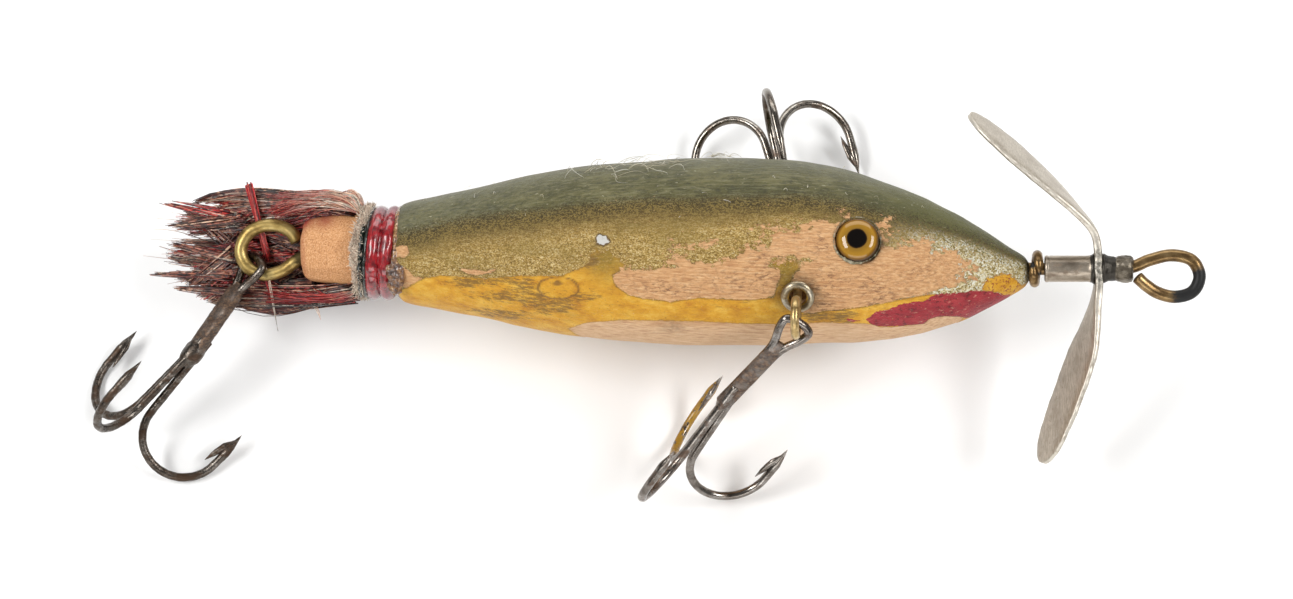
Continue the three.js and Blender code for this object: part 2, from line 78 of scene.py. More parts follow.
def lumps(points, size, seed=0):
    """Smooth noise from -1 to 1: fixed random heights on a cubic lattice, mixed by eased shares."""
    scaled = np.asarray(points, float) / size
    cell = np.floor(scaled).astype(np.int64)
    share = scaled - cell
    share = share * share * (3.0 - 2.0 * share)
    total = np.zeros(len(scaled))
    for corner in np.ndindex(2, 2, 2):
        key = (cell + corner) @ np.array([374761393, 668265263, 1274126177]) + seed * 974711
        key = ((key ^ (key >> 13)) * 1103515245) & 0x7FFFFFFF
        height = ((key ^ (key >> 15)) & 0xFFFF) / 32767.5 - 1.0
        weight = np.where(np.array(corner) == 1, share, 1.0 - share).prod(axis=1)
        total += height * weight
    return total


def smooth_rows(x, y, at):
    """Curve through rows of x and y: cubic pieces whose slope at a row is the harmonic mean of the
    slopes beside it, and level where the rows turn."""
    step = np.diff(x)
    rise = np.diff(y) / step
    product = rise[:-1] * rise[1:]
    slope = np.concatenate([rise[:1], np.zeros(len(product)), rise[-1:]])
    bends = np.flatnonzero(product > 0)
    slope[bends + 1] = 2.0 * product[bends] / (rise[bends] + rise[bends + 1])
    k = np.clip(np.searchsorted(x, at, side="right") - 1, 0, len(step) - 1)
    t = (at - x[k]) / step[k]
    rest = 1.0 - t
    ends = y[k] * (1.0 + 2.0 * t) * rest**2 + y[k + 1] * (3.0 - 2.0 * t) * t**2
    return ends + step[k] * t * rest * (slope[k] * rest - slope[k + 1] * t)


def through(points, count):
    """Centripetal Catmull-Rom curve through points, at evenly spaced distances along it."""
    points = np.asarray(points, float)
    whole = np.vstack([2 * points[0] - points[1], points, 2 * points[-1] - points[-2]])
    gap = np.linalg.norm(np.diff(whole, axis=0), axis=1)[:, None] ** 0.5
    a, b, c, d = whole[:-3], whole[1:-2], whole[2:-1], whole[3:]
    before, here, after = gap[:-2], gap[1:-1], gap[2:]
    start = here * ((b - a) / before - (c - a) / (before + here) + (c - b) / here)
    end = here * ((c - b) / here - (d - b) / (here + after) + (d - c) / after)
    t = np.linspace(0.0, 1.0, 40, endpoint=False)[None, :, None]
    b, c, start, end = (v[:, None, :] for v in (b, c, start, end))
    curve = b + start * t + (3 * (c - b) - 2 * start - end) * t**2 + (2 * (b - c) + start + end) * t**3
    curve = np.vstack([curve.reshape(-1, points.shape[1]), points[-1:]])
    return evenly(curve, count)


def circle(count):
    """Angles evenly spaced round a full turn, in radians."""
    return np.linspace(0.0, 2 * np.pi, count, endpoint=False)


def spokes(angle):
    """Directions square to the lure's length, by the angle from the near side towards the back."""
    return np.stack([np.zeros_like(angle), np.sin(angle), np.cos(angle)], axis=1)


def evenly(curve, count):
    """The same line with its points at equal distances along it."""
    walked = np.concatenate([[0.0], np.cumsum(np.linalg.norm(np.diff(curve, axis=0), axis=1))])
    marks = np.linspace(0.0, walked[-1], count)
    return np.stack([np.interp(marks, walked, column) for column in curve.T], axis=1)


class Shell:
    """Points in millimetres in the rest frame, faces of four and of three corners, and named
    values for each point."""

    def __init__(self, points, quads, triangles, values=None):
        self.points = points
        self.quads = quads
        self.triangles = triangles
        self.values = values or {}

    def outward(self):
        """Average direction of the faces around each point: crossed diagonals or edges, added up."""
        total = np.zeros_like(self.points)
        for faces in (self.quads, self.triangles):
            corners = self.points[faces]
            across = np.cross(corners[:, 2] - corners[:, 0], corners[:, -1] - corners[:, 1])
            if faces.shape[1] == 3:
                across = np.cross(corners[:, 1] - corners[:, 0], corners[:, 2] - corners[:, 0])
            for column in faces.T:
                np.add.at(total, column, across)
        return total / np.maximum(np.linalg.norm(total, axis=1, keepdims=True), 1e-12)

    def roughened(self, height, size, seed=0):
        """The shell with its points moved outwards by smooth noise of a height and a size."""
        self.points = self.points + self.outward() * (height * lumps(self.points, size, seed))[:, None]
        return self


def joined(shells):
    """Several shells as one, with the values that all of them hold."""
    starts = np.cumsum([0] + [len(s.points) for s in shells[:-1]])
    names = set.intersection(*(set(s.values) for s in shells))
    return Shell(
        np.vstack([s.points for s in shells]),
        np.vstack([s.quads + start for s, start in zip(shells, starts)]),
        np.vstack([s.triangles + start for s, start in zip(shells, starts)]),
        {name: np.concatenate([s.values[name] for s in shells]) for name in names},
    )


def skin(rings, tips=None, values=None):
    """Closed skin over rings[i, j], where j runs round each ring. Without tips the last ring joins
    the first. With tips, (start, end), each end ring is drawn together in one point."""
    count, sides = rings.shape[:2]
    looped = tips is None
    row = np.arange(count if looped else count - 1)[:, None]
    j = np.arange(sides)[None, :]
    after = (row + 1) % count
    around = (j + 1) % sides
    corners = (row * sides + j, row * sides + around, after * sides + around, after * sides + j)
    quads = np.stack(corners, axis=-1).reshape(-1, 4)
    points = rings.reshape(-1, 3)
    values = {name: np.asarray(v, float).reshape(count * sides, -1).squeeze() for name, v in (values or {}).items()}
    if looped:
        return Shell(points, quads, np.zeros((0, 3), int), values)
    j = j[0]
    last = (count - 1) * sides
    first_fan = np.stack([(j + 1) % sides, j, np.full(sides, len(points))], axis=1)
    last_fan = np.stack([last + j, last + (j + 1) % sides, np.full(sides, len(points) + 1)], axis=1)
    values = {name: np.concatenate([v, v[:1], v[-1:]]) for name, v in values.items()}
    return Shell(np.vstack([points, tips]), quads, np.vstack([first_fan, last_fan]), values)


def wire(path, radius, up, sides=18, cap=0.4, flat=1.0, **values):
    """Round wire: ring points stand off the path by the radius times cosine and sine along two
    directions square to it, the first one near to up. Both ends are rounded by a quarter turn,
    cap radii long. flat scales the second direction."""
    count = len(path)
    radius = np.broadcast_to(np.asarray(radius, float), (count,))
    tangent = unit(np.gradient(path, axis=0))
    turn = np.radians([68.0, 45.0, 22.0])
    lead, tail = (np.repeat(path[[k]], 3, axis=0) for k in (0, -1))
    lead = lead - tangent[0] * (radius[0] * cap * np.sin(turn))[:, None]
    tail = tail + tangent[-1] * (radius[-1] * cap * np.sin(turn[::-1]))[:, None]
    centres = np.vstack([lead, path, tail])
    radii = np.concatenate([radius[0] * np.cos(turn), radius, radius[-1] * np.cos(turn[::-1])])
    along = np.vstack([tangent[[0, 0, 0]], tangent, tangent[[-1, -1, -1]]])
    up = np.broadcast_to(np.asarray(up, float), along.shape)
    side = unit(up - (up * along).sum(axis=1, keepdims=True) * along)
    other = np.cross(along, side)
    angle = circle(sides)[None, :, None]
    spread = np.cos(angle) * side[:, None, :] + flat * np.sin(angle) * other[:, None, :]
    rings = centres[:, None, :] + radii[:, None, None] * spread
    tips = np.stack([path[0] - tangent[0] * radius[0] * cap, path[-1] + tangent[-1] * radius[-1] * cap])
    held = {}
    for name, v in values.items():
        full = np.concatenate([[v[0]] * 3, v, [v[-1]] * 3])
        held[name] = np.repeat(full, sides, axis=0)
    return skin(rings, tips, held)


def cord_rings(path, out, along, thick, sides):
    """Rings of a closed cord on a looped path: a thickness times cosine along each point's way out
    and sine along one more direction."""
    turn = circle(sides)[None, :, None]
    offsets = np.cos(turn) * out[:, None, :] + np.sin(turn) * along
    return at_rest(path[:, None, :] + np.reshape(thick, (-1, 1, 1)) * offsets)


def turned(rows, centre, axis, start, sides, tips=True, **values):
    """Surface of revolution: rows of station and radius turned about an axis through the centre,
    from the start direction on. The rows run along the axis."""
    rows = np.asarray(rows, float)
    axis = unit(axis)
    side = unit(np.asarray(start, float) - np.dot(start, axis) * axis)
    other = np.cross(axis, side)
    angle = circle(sides)[None, :, None]
    spread = np.cos(angle) * side + np.sin(angle) * other
    middle = centre + rows[:, :1] * axis
    rings = middle[:, None, :] + rows[:, 1][:, None, None] * spread
    held = {"around": np.tile(angle.ravel(), len(rows)), "station": np.repeat(rows[:, 0], sides)}
    held.update({name: np.repeat(v, sides) for name, v in values.items()})
    return skin(rings, middle[[0, -1]] if tips else None, held)


def add_piece(name, shell, finish, nodes=(), body="root"):
    """Makes a piece from a shell, gives it its finish, and says what it rides on and stands for."""
    mesh = bpy.data.meshes.new(name)
    mesh.vertices.add(len(shell.points))
    mesh.vertices.foreach_set("co", (shell.points * MM).ravel())
    corners = np.concatenate([shell.quads.ravel(), shell.triangles.ravel()])
    mesh.loops.add(len(corners))
    mesh.loops.foreach_set("vertex_index", corners)
    sizes = np.concatenate([np.full(len(shell.quads), 4), np.full(len(shell.triangles), 3)])
    mesh.polygons.add(len(sizes))
    mesh.polygons.foreach_set("loop_start", np.cumsum(sizes) - sizes)
    mesh.update(calc_edges=True)
    mesh.polygons.foreach_set("use_smooth", np.ones(len(sizes), bool))
    for key, v in shell.values.items():
        if v.ndim == 2:
            colours = mesh.attributes.new(key, "FLOAT_COLOR", "POINT")
            colours.data.foreach_set("color", np.hstack([v, np.ones((len(v), 1))]).ravel())
        else:
            mesh.attributes.new(key, "FLOAT", "POINT").data.foreach_set("value", v)
    piece = bpy.data.objects.new(name, mesh)
    bpy.context.scene.collection.objects.link(piece)
    mesh.materials.append(finish)
    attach(piece, body)
    if nodes:
        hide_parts(*nodes)


# Finishes

# How much brighter a pale surface looks in the light tent than its own colour
TENT_LIGHT = 1.45


def seen(red, green, blue):
    """A colour as it looks in the light tent, from 0 to 255, as the surface's own linear colour."""
    shares = np.array([red, green, blue]) / 255.0
    linear = np.where(shares > 0.04045, ((shares + 0.055) / 1.055) ** 2.4, shares / 12.92)
    return (*np.minimum(linear / TENT_LIGHT, 0.9), 1.0)


class Finish:
    """A material built in short steps, with sizes in millimetres on Object coordinates."""

    def __init__(self, name, **settings):
        self.material = bpy.data.materials.new(name)
        self.material.use_nodes = True
        self.tree = self.material.node_tree
        self.shader = self.tree.nodes["Principled BSDF"]
        self.place = self.node("TexCoord").outputs["Object"]
        for socket, value in settings.items():
            self.shader.inputs[socket.replace("_", " ")].default_value = value

    def node(self, kind, inputs=(), **settings):
        """A shader node of a kind, with its settings and with what each input is fed."""
        made = self.tree.nodes.new("ShaderNode" + kind)
        for key, value in settings.items():
            setattr(made, key, value)
        for key, value in dict(inputs).items():
            self.feed(made.inputs[key], value)
        return made

    def feed(self, socket, value):
        """Links another node's output to a socket, or sets the socket's value."""
        if isinstance(value, bpy.types.NodeSocket):
            self.tree.links.new(value, socket)
        else:
            socket.default_value = value

    def drawn(self, size, along):
        """Object coordinates in units of a size, drawn out along the lure by a factor."""
        per_metre = 1.0 / (size * MM)
        inputs = {"Vector": self.place, "Scale": (per_metre / along, per_metre, per_metre)}
        return self.node("Mapping", inputs).outputs[0]

    def grain(self, size, along, detail, roughness):
        """Noise from 0 to 1 with lumps of a size, drawn out along the lure, finer with more detail
        and harsher with more roughness."""
        inputs = {"Vector": self.drawn(size, along), "Scale": 1.0, "Detail": detail, "Roughness": roughness}
        return self.node("TexNoise", inputs).outputs["Fac"]

    def cells(self, size, along, channel):
        """A random value for each cell of a size: one channel of the cell's random colour."""
        cells = self.node("TexVoronoi", {"Vector": self.drawn(size, along), "Scale": 1.0})
        return self.node("SeparateColor", {"Color": cells.outputs["Color"]}).outputs[channel]

    def math(self, operation, first, second=0.0, clamp=False):
        """One sum on two values, kept from 0 to 1 if clamped."""
        return self.node("Math", {0: first, 1: second}, operation=operation, use_clamp=clamp).outputs[0]

    def times(self, first, second, clamp=False):
        """The product of two values."""
        return self.math("MULTIPLY", first, second, clamp)

    def plus(self, first, second, clamp=False):
        """The sum of two values."""
        return self.math("ADD", first, second, clamp)

    def less(self, first, second, clamp=False):
        """The first value less the second."""
        return self.math("SUBTRACT", first, second, clamp)

    def step(self, value, low, high, start=0.0, end=1.0):
        """start below low, end above high, and an eased value between."""
        inputs = {"Value": value, "From Min": low, "From Max": high, "To Min": start, "To Max": end}
        return self.node("MapRange", inputs, interpolation_type="SMOOTHSTEP").outputs[0]

    def mix(self, amount, under, over):
        """Colour over laid on colour under by an amount."""
        return self.node("Mix", {0: amount, 6: under, 7: over}, data_type="RGBA").outputs[2]

    def marked(self, colour, marks, strength, shade):
        """A colour with marks of a shade on it, laid on by their value times a strength."""
        return self.mix(self.times(marks, strength), colour, shade)

    def spots(self, noise, low, high, start=0.0, end=1.0):
        """Noise that grain makes from its size and the rest, eased from start at low to end at high."""
        return self.step(self.grain(*noise), low, high, start, end)

    def speckled(self, colour, shade, strength, noise, low, high):
        """A colour with spots of noise on it, in a shade and at a strength."""
        return self.marked(colour, self.spots(noise, low, high), strength, seen(*shade))

    def ramp(self, value, stops):
        """Colour by value through stops of (value, colour)."""
        made = self.node("ValToRGB", {"Fac": value})
        elements = made.color_ramp.elements
        while len(elements) < len(stops):
            elements.new(0.5)
        for element, (position, colour) in zip(elements, stops):
            element.position = position
            element.color = colour
        return made.outputs["Color"]

    def value(self, name, output="Fac"):
        """A value that the mesh holds for each point."""
        return self.node("Attribute", attribute_name=name).outputs[output]

    def bump(self, height, depth, under=None):
        """Bump of a depth in millimetres, on top of another one."""
        inputs = {"Height": height, "Distance": depth * MM, "Strength": 1.0}
        if under is not None:
            inputs["Normal"] = under
        return self.node("Bump", inputs).outputs[0]

    def done(self, **links):
        """Links colours and values to the shader's sockets, and gives the material."""
        for socket, value in links.items():
            self.feed(self.shader.inputs[socket.replace("_", " ")], value)
        return self.material


def dull_metal(finish, light, mid, dark, rust, patches, roughness, pits):
    """Colour, roughness and normal of bare metal gone dull: soft mottling between three colours,
    rust or stain in patches, pits, and black where the mesh holds a stain."""
    fine = finish.grain(0.24, 1.6, 6.0, 0.72)
    broad = finish.grain(1.5, 1.8, 6.0, 0.68)
    colour = finish.ramp(broad, [(0.32, dark), (0.5, mid), (0.66, light)])
    colour = finish.mix(finish.step(fine, 0.54, 0.66, 0.0, 0.6), colour, dark)
    stained = finish.spots((1.6, 1.5, 7.0, 0.72), 0.62 - patches * 0.3, 0.7 - patches * 0.22)
    colour = finish.marked(colour, stained, 0.8, finish.mix(fine, dark, rust))
    black = finish.step(finish.plus(finish.value("stain"), finish.less(broad, 0.5)), 0.35, 0.6)
    colour = finish.mix(black, colour, seen(74, 70, 64))
    rough = finish.plus(roughness, finish.times(stained, 0.25))
    rough = finish.plus(rough, finish.times(fine, 0.12))
    return colour, rough, finish.bump(fine, pits)


def old_metal(name, *layers):
    """Bare metal as dull_metal makes it, and nothing on it."""
    finish = Finish(name, Metallic=0.9)
    colour, rough, normal = dull_metal(finish, *layers)
    return finish.done(Base_Color=colour, Roughness=rough, Normal=normal)


def bare_wood(finish, fibre, stipple):
    """Bare wood: short fibres along the lure, dark pores, grime in blotches, and paler wood below, which is painted
    light from the floor.
    """
    wood = finish.ramp(fibre, [(0.34, seen(204, 148, 98)), (0.52, seen(232, 180, 126)), (0.68, seen(248, 204, 154))])
    wood = finish.speckled(wood, (158, 108, 72), 0.35, (0.15, 2.5, 3.0, 0.6), 0.6, 0.7)  # pores
    blotch = finish.spots((4.2, 2.0, 5.0, 0.6), 0.4, 0.65, 0.05, 0.5)
    soil = finish.plus(blotch, finish.value("soil"), clamp=True)
    wood = finish.mix(finish.times(soil, stipple), wood, seen(146, 104, 74))
    # Painted light: the wood is paler on the belly, where the floor lights it
    below = finish.ramp(fibre, [(0.32, seen(206, 158, 122)), (0.5, seen(244, 204, 162)), (0.68, seen(255, 222, 184))])
    return finish.marked(wood, finish.value("under"), 0.75, below)


def olive_paint(finish, fine, mottle):
    """Olive on the back: mottled, brushed, scuffed and pitted, with a painted sheen along its upper
    edge and towards the tail, and greener at the nose."""
    brushed = finish.grain(0.26, 12.0, 4.0, 0.7)
    olive = finish.ramp(mottle, [(0.34, seen(68, 68, 34)), (0.5, seen(98, 94, 52)), (0.66, seen(128, 122, 78))])
    olive = finish.mix(finish.step(brushed, 0.48, 0.62, 0.0, 0.6), olive, seen(144, 140, 104))
    olive = finish.speckled(olive, (54, 54, 32), 0.65, (0.5, 2.6, 6.0, 0.82), 0.52, 0.6)  # scuffs
    # Painted sheen: a paler grey-green where the light catches the back's upper edge and the tail end
    bloom = finish.times(finish.value("bloom"), finish.step(fine, 0.3, 0.7))
    olive = finish.mix(bloom, olive, seen(128, 128, 106))
    olive = finish.mix(finish.value("nose_green"), olive, finish.mix(mottle, seen(62, 66, 18), seen(126, 122, 62)))
    olive = finish.speckled(olive, (46, 42, 26), 0.6, (0.26, 1.8, 2.0, 0.5), 0.68, 0.75)  # specks
    return finish.speckled(olive, (196, 190, 160), 0.85, (0.34, 2.6, 2.0, 0.5), 0.69, 0.75)  # dust


def ochre_paint(finish, fine, broad, thin):
    """Ochre on the belly: greenish where it is thin, with dirty smears, dark crumbs, the blister's
    scar and spatters of red."""
    smear = finish.spots((1.3, 4.5, 7.0, 0.76), 0.54, 0.7)
    ochre = finish.ramp(broad, [(0.34, seen(206, 138, 18)), (0.5, seen(232, 170, 36)), (0.68, seen(248, 198, 78))])
    greenish = finish.times(thin, finish.step(fine, 0.25, 0.6, 1.4, 0.9), clamp=True)
    ochre = finish.mix(greenish, ochre, seen(148, 118, 22))
    dirt = finish.math("MINIMUM", finish.value("dirt"), 1.0)
    streaky = finish.grain(0.36, 6.0, 6.0, 0.84)
    streaky = finish.step(finish.plus(streaky, finish.times(dirt, 0.19)), 0.59, 0.74, 0.0, 0.8)
    grimy = finish.math("MAXIMUM", finish.times(smear, 0.3), streaky)
    ochre = finish.mix(grimy, ochre, seen(112, 80, 34))
    ochre = finish.speckled(ochre, (100, 70, 30), 0.7, (0.2, 1.0, 2.0, 0.5), 0.67, 0.73)  # crumbs
    ochre = finish.mix(finish.value("ridge"), ochre, seen(126, 84, 28))
    red_dots = finish.spots((0.4, 1.0, 4.0, 0.7), 0.54, 0.58)
    red_dots = finish.times(red_dots, finish.value("spattered"))
    return finish.marked(ochre, red_dots, 0.85, seen(150, 48, 38))


def worn_paint():
    """Old paint on a wooden fish. Each patch is held on the mesh as a distance in millimetres from
    its edge, which noise makes ragged before it is cut. From the bottom up: bare wood, gold flake,
    olive on the back, ochre on the belly, red at the gill, and bare wood again where it is worn."""
    finish = Finish("worn_paint", Specular_IOR_Level=0.35)
    fine = finish.grain(0.4, 1.3, 5.0, 0.72)
    broad = finish.grain(1.7, 1.5, 7.0, 0.72)
    crinkle = finish.grain(0.75, 1.3, 6.0, 0.75)
    fibre = finish.grain(0.2, 9.0, 4.0, 0.65)
    stipple = finish.spots((0.32, 2.4, 6.0, 0.8), 0.46, 0.62)
    wander = finish.less(finish.times(finish.plus(broad, crinkle), 0.5), 0.5)
    ragged = finish.times(wander, finish.value("ragged"))
    nibble = finish.times(finish.less(fine, 0.5), 0.7)

    def patch(name, width=0.04, rag=1.0, raised=0.0):
        """1 inside a patch and 0 outside: its distance plus ragged noise, cut over a width."""
        edge = finish.plus(finish.value(name), finish.times(ragged, rag))
        edge = finish.plus(edge, raised)
        return finish.step(finish.plus(edge, nibble), -width, width)

    # Gold flake in varnish: small cells, each of its own brightness, over streaks
    near_nose = finish.value("nose_flake")
    small, large = finish.cells(0.1, 1.4, 0), finish.cells(0.16, 1.3, 1)
    streak = finish.grain(0.3, 5.0, 6.0, 0.8)
    spark = finish.plus(finish.times(small, 0.4), finish.times(streak, 0.6))
    gold = finish.ramp(spark, [(0.24, seen(112, 84, 30)), (0.4, seen(160, 126, 56)), (0.54, seen(196, 162, 86)),
                               (0.64, seen(224, 194, 124)), (0.74, seen(246, 226, 172))])
    drift = finish.grain(3.2, 3.5, 4.0, 0.6)
    gold = finish.speckled(gold, (118, 92, 40), 0.25, (0.5, 16.0, 5.0, 0.7), 0.5, 0.62)  # scrapes
    gold = finish.mix(finish.step(drift, 0.45, 0.7, 0.0, 0.45), gold, seen(150, 126, 58))
    # The foil near the nose: gold-cream, its brightest cells painted glints
    foil = finish.ramp(large, [(0.08, seen(150, 130, 72)), (0.32, seen(212, 192, 138)), (0.62, seen(244, 230, 188)),
                               (0.92, seen(255, 255, 240))])
    gold = finish.mix(near_nose, gold, foil)

    # Olive on the back. Along its lower edge the flake shows through, and goes dusky above
    feather = finish.times(finish.less(small, 0.5), finish.value("soft_edge"))
    above = finish.plus(finish.value("olive"), finish.times(finish.less(drift, 0.5), 1.6))
    above = finish.plus(above, feather)
    dusk = finish.step(above, -4.6, -1.2)
    dusky = finish.mix(finish.step(spark, 0.4, 0.66), seen(60, 50, 14), seen(146, 122, 58))
    dusk = finish.times(dusk, finish.less(0.95, finish.times(near_nose, 0.55)))
    gold = finish.mix(dusk, gold, dusky)
    mottle = finish.grain(2.2, 2.6, 7.0, 0.75)
    paint = finish.mix(finish.step(above, -0.9, 0.9), gold, olive_paint(finish, fine, mottle))

    # Ochre, which lets the flake through where it is thin
    thin = finish.value("thin_ochre")
    on_ochre = patch("ochre", 0.05, 0.3)
    ochre_rim = finish.less(patch("ochre", 0.05, 0.3, 0.12), patch("ochre", 0.08, 0.3, -0.14), clamp=True)
    see_through = finish.less(1.0, finish.times(thin, finish.step(stipple, 0.2, 0.8, 0.1, 0.45)))
    ochre = ochre_paint(finish, fine, broad, thin)
    paint = finish.mix(finish.times(on_ochre, see_through), paint, ochre)
    paint = finish.marked(paint, ochre_rim, 0.3, seen(128, 88, 30))

    # Red gill, with pale scratches and dark crumbs
    red = finish.ramp(broad, [(0.3, seen(142, 24, 36)), (0.55, seen(176, 42, 52)), (0.75, seen(200, 72, 72))])
    red = finish.speckled(red, (232, 178, 150), 0.65, (0.36, 4.5, 4.0, 0.7), 0.6, 0.66)  # scratches
    red = finish.speckled(red, (92, 14, 22), 0.75, (0.5, 1.2, 4.0, 0.7), 0.55, 0.62)  # crumbs
    on_red = patch("red")
    paint = finish.mix(on_red, paint, red)

    # Worn through to the wood, with pin pricks, and one chip down to the primer
    worn = patch("bare")
    pricks = finish.spots((0.34, 1.0, 2.0, 0.5), 0.72, 0.76)
    pricked = finish.step(finish.value("olive"), -1.0, 1.5, 1.0, 0.15)
    worn = finish.math("MAXIMUM", worn, finish.times(pricks, pricked))
    paint_rim = finish.less(patch("bare", 0.05, 1.0, 0.16), worn, clamp=True)
    paint = finish.marked(paint, paint_rim, 0.4, seen(96, 74, 40))
    colour = finish.mix(worn, paint, bare_wood(finish, fibre, stipple))
    primer = patch("primer", 0.04, 0.1)
    rim = finish.less(finish.step(finish.value("primer"), -0.3, -0.1), primer, clamp=True)
    colour = finish.marked(colour, rim, 0.8, seen(82, 58, 34))
    colour = finish.mix(primer, colour, seen(228, 226, 220))
    grime = finish.times(finish.value("grime"), finish.step(fine, 0.2, 0.7))
    colour = finish.mix(grime, colour, seen(62, 50, 36))

    # Metal shows in the flake alone. The paint's edge stands up, and the wood's fibres are open
    covered = finish.less(1.0, worn)
    is_flake = finish.times(covered, finish.less(1.0, finish.math("MAXIMUM", on_ochre, on_red)))
    is_flake = finish.times(is_flake, finish.step(above, -0.7, 0.7, 1.0, 0.05))
    metal = finish.times(is_flake, finish.plus(0.12, finish.times(near_nose, 0.16)))
    rough = finish.plus(0.4, finish.times(fine, 0.15))
    rough = finish.plus(rough, finish.times(worn, 0.32))
    foil_tilt = finish.mix(near_nose, small, large)
    normal = finish.bump(covered, 0.07)
    normal = finish.bump(finish.times(fibre, worn), 0.1, normal)
    normal = finish.bump(finish.times(foil_tilt, is_flake), 0.05, normal)
    normal = finish.bump(mottle, 0.26, normal)
    dents = finish.spots((0.7, 1.8, 3.0, 0.6), 0.52, 0.64)
    normal = finish.bump(finish.times(dents, covered), 0.05, normal)
    normal = finish.bump(fine, 0.1, normal)
    return finish.done(Base_Color=colour, Roughness=rough, Metallic=metal, Normal=normal)


def stub_wood():
    """Whittled wood that was never painted: fine stipple and faint rings across, red at the top."""
    finish = Finish("stub_wood", Specular_IOR_Level=0.3)
    stipple = finish.grain(0.18, 1.0, 5.0, 0.75)
    rings = finish.grain(0.7, 0.25, 4.0, 0.7)
    broad = finish.grain(2.5, 1.5, 5.0, 0.65)
    colour = finish.ramp(stipple, [(0.36, seen(186, 126, 78)), (0.5, seen(232, 170, 114)), (0.64, seen(250, 202, 154))])
    colour = finish.mix(finish.step(rings, 0.5, 0.66, 0.0, 0.5), colour, seen(196, 134, 84))
    colour = finish.speckled(colour, (150, 96, 58), 0.65, (0.3, 0.8, 3.0, 0.6), 0.6, 0.68)  # pores
    colour = finish.mix(finish.step(broad, 0.55, 0.8, 0.0, 0.35), colour, seen(190, 130, 86))
    colour = finish.mix(finish.value("dyed"), colour, seen(176, 74, 62))
    rough = finish.plus(0.62, finish.times(stipple, 0.15))
    normal = finish.bump(stipple, 0.03)
    return finish.done(Base_Color=colour, Roughness=rough, Normal=normal)


THREAD_PITCH = 0.3


def varnished_thread(name, deep, light, dull):
    """Thread under thick glossy varnish: turns show as fine lines, and where the mesh says so it goes
    the dull colour, a painted sheen where the light grazes, with rougher varnish there."""
    finish = Finish(name, Coat_Weight=1.0, Coat_Roughness=0.05)
    turns = finish.math("SINE", finish.times(finish.value("station"), 2 * math.pi / THREAD_PITCH))
    broad = finish.grain(0.9, 0.7, 5.0, 0.65)
    colour = finish.mix(finish.step(broad, 0.35, 0.62), deep, light)
    colour = finish.mix(finish.step(turns, -0.9, 0.2, 0.35, 0.0), colour, deep)
    # Painted sheen where the light grazes the thread: the dull colour, with rougher varnish
    dusty = finish.times(finish.value("dusty"), finish.step(broad, 0.25, 0.6, 0.35, 0.85))
    colour = finish.mix(dusty, colour, dull)
    rough = finish.plus(0.2, finish.times(dusty, 0.45))
    normal = finish.bump(turns, 0.004)
    normal = finish.bump(broad, 0.1, normal)
    return finish.done(Base_Color=colour, Roughness=rough, Normal=normal)


def rough_matter(name, stops, size, depth, roughness, **settings):
    """Hide, glue or putty: noise picks a colour from stops and roughens the surface."""
    finish = Finish(name, **settings)
    broad = finish.grain(size, 1.0, 6.0, 0.7)
    colour = finish.ramp(broad, stops)
    rough = finish.plus(roughness, finish.times(broad, 0.15))
    return finish.done(Base_Color=colour, Roughness=rough, Normal=finish.bump(broad, depth))


def dyed_hair(name, roughness=0.35, banding=1.0):
    """Hair whose colour is held on the mesh, with darker lengths and small pale flakes on it, which are painted glints.
    """
    finish = Finish(name, Specular_IOR_Level=0.6)
    band = finish.grain(0.3, 2.6, 3.0, 0.6)
    colour = finish.value("tint", "Color")
    colour = finish.mix(finish.step(band, 0.5, 0.58, 0.0, 0.9 * banding), colour, (0.012, 0.005, 0.005, 1.0))
    # Painted glints: small pale flakes along the hairs
    colour = finish.mix(finish.step(band, 0.4, 0.34, 0.0, 0.7 * banding), colour, seen(248, 190, 150))
    return finish.done(Base_Color=colour, Roughness=roughness)


def eye_glass():
    """Painted glass eye under a clear dome: colour by distance from the middle, in shares of the
    eye's radius, from a black pupil through a cream halo and olive amber to a brown rim. The rim's
    darkening is painted shade for the dome's refraction at its edge."""
    finish = Finish("eye_glass", Coat_Weight=1.0, Coat_Roughness=0.015, Coat_IOR=1.42, Roughness=0.4,
                    Specular_IOR_Level=0.0)
    wobble = finish.times(finish.less(finish.grain(0.8, 1.0, 3.0, 0.5), 0.5), 0.05)
    out = finish.plus(finish.value("out"), wobble)
    # The last two stops darken the rim: painted shade for the refraction at the dome's edge
    colour = finish.ramp(out, [
        (0.40, seen(10, 5, 3)), (0.44, seen(54, 34, 14)), (0.48, seen(150, 112, 44)), (0.62, seen(168, 124, 40)),
        (0.80, seen(186, 138, 48)), (0.91, seen(130, 88, 26)), (0.985, seen(34, 22, 8)),
    ])
    return finish.done(Base_Color=colour)


BLADE_SCRATCH_SLANT = math.radians(35)
BLADE_SCRATCHES_PER_METRE = (9000.0, 700.0, 2500.0)


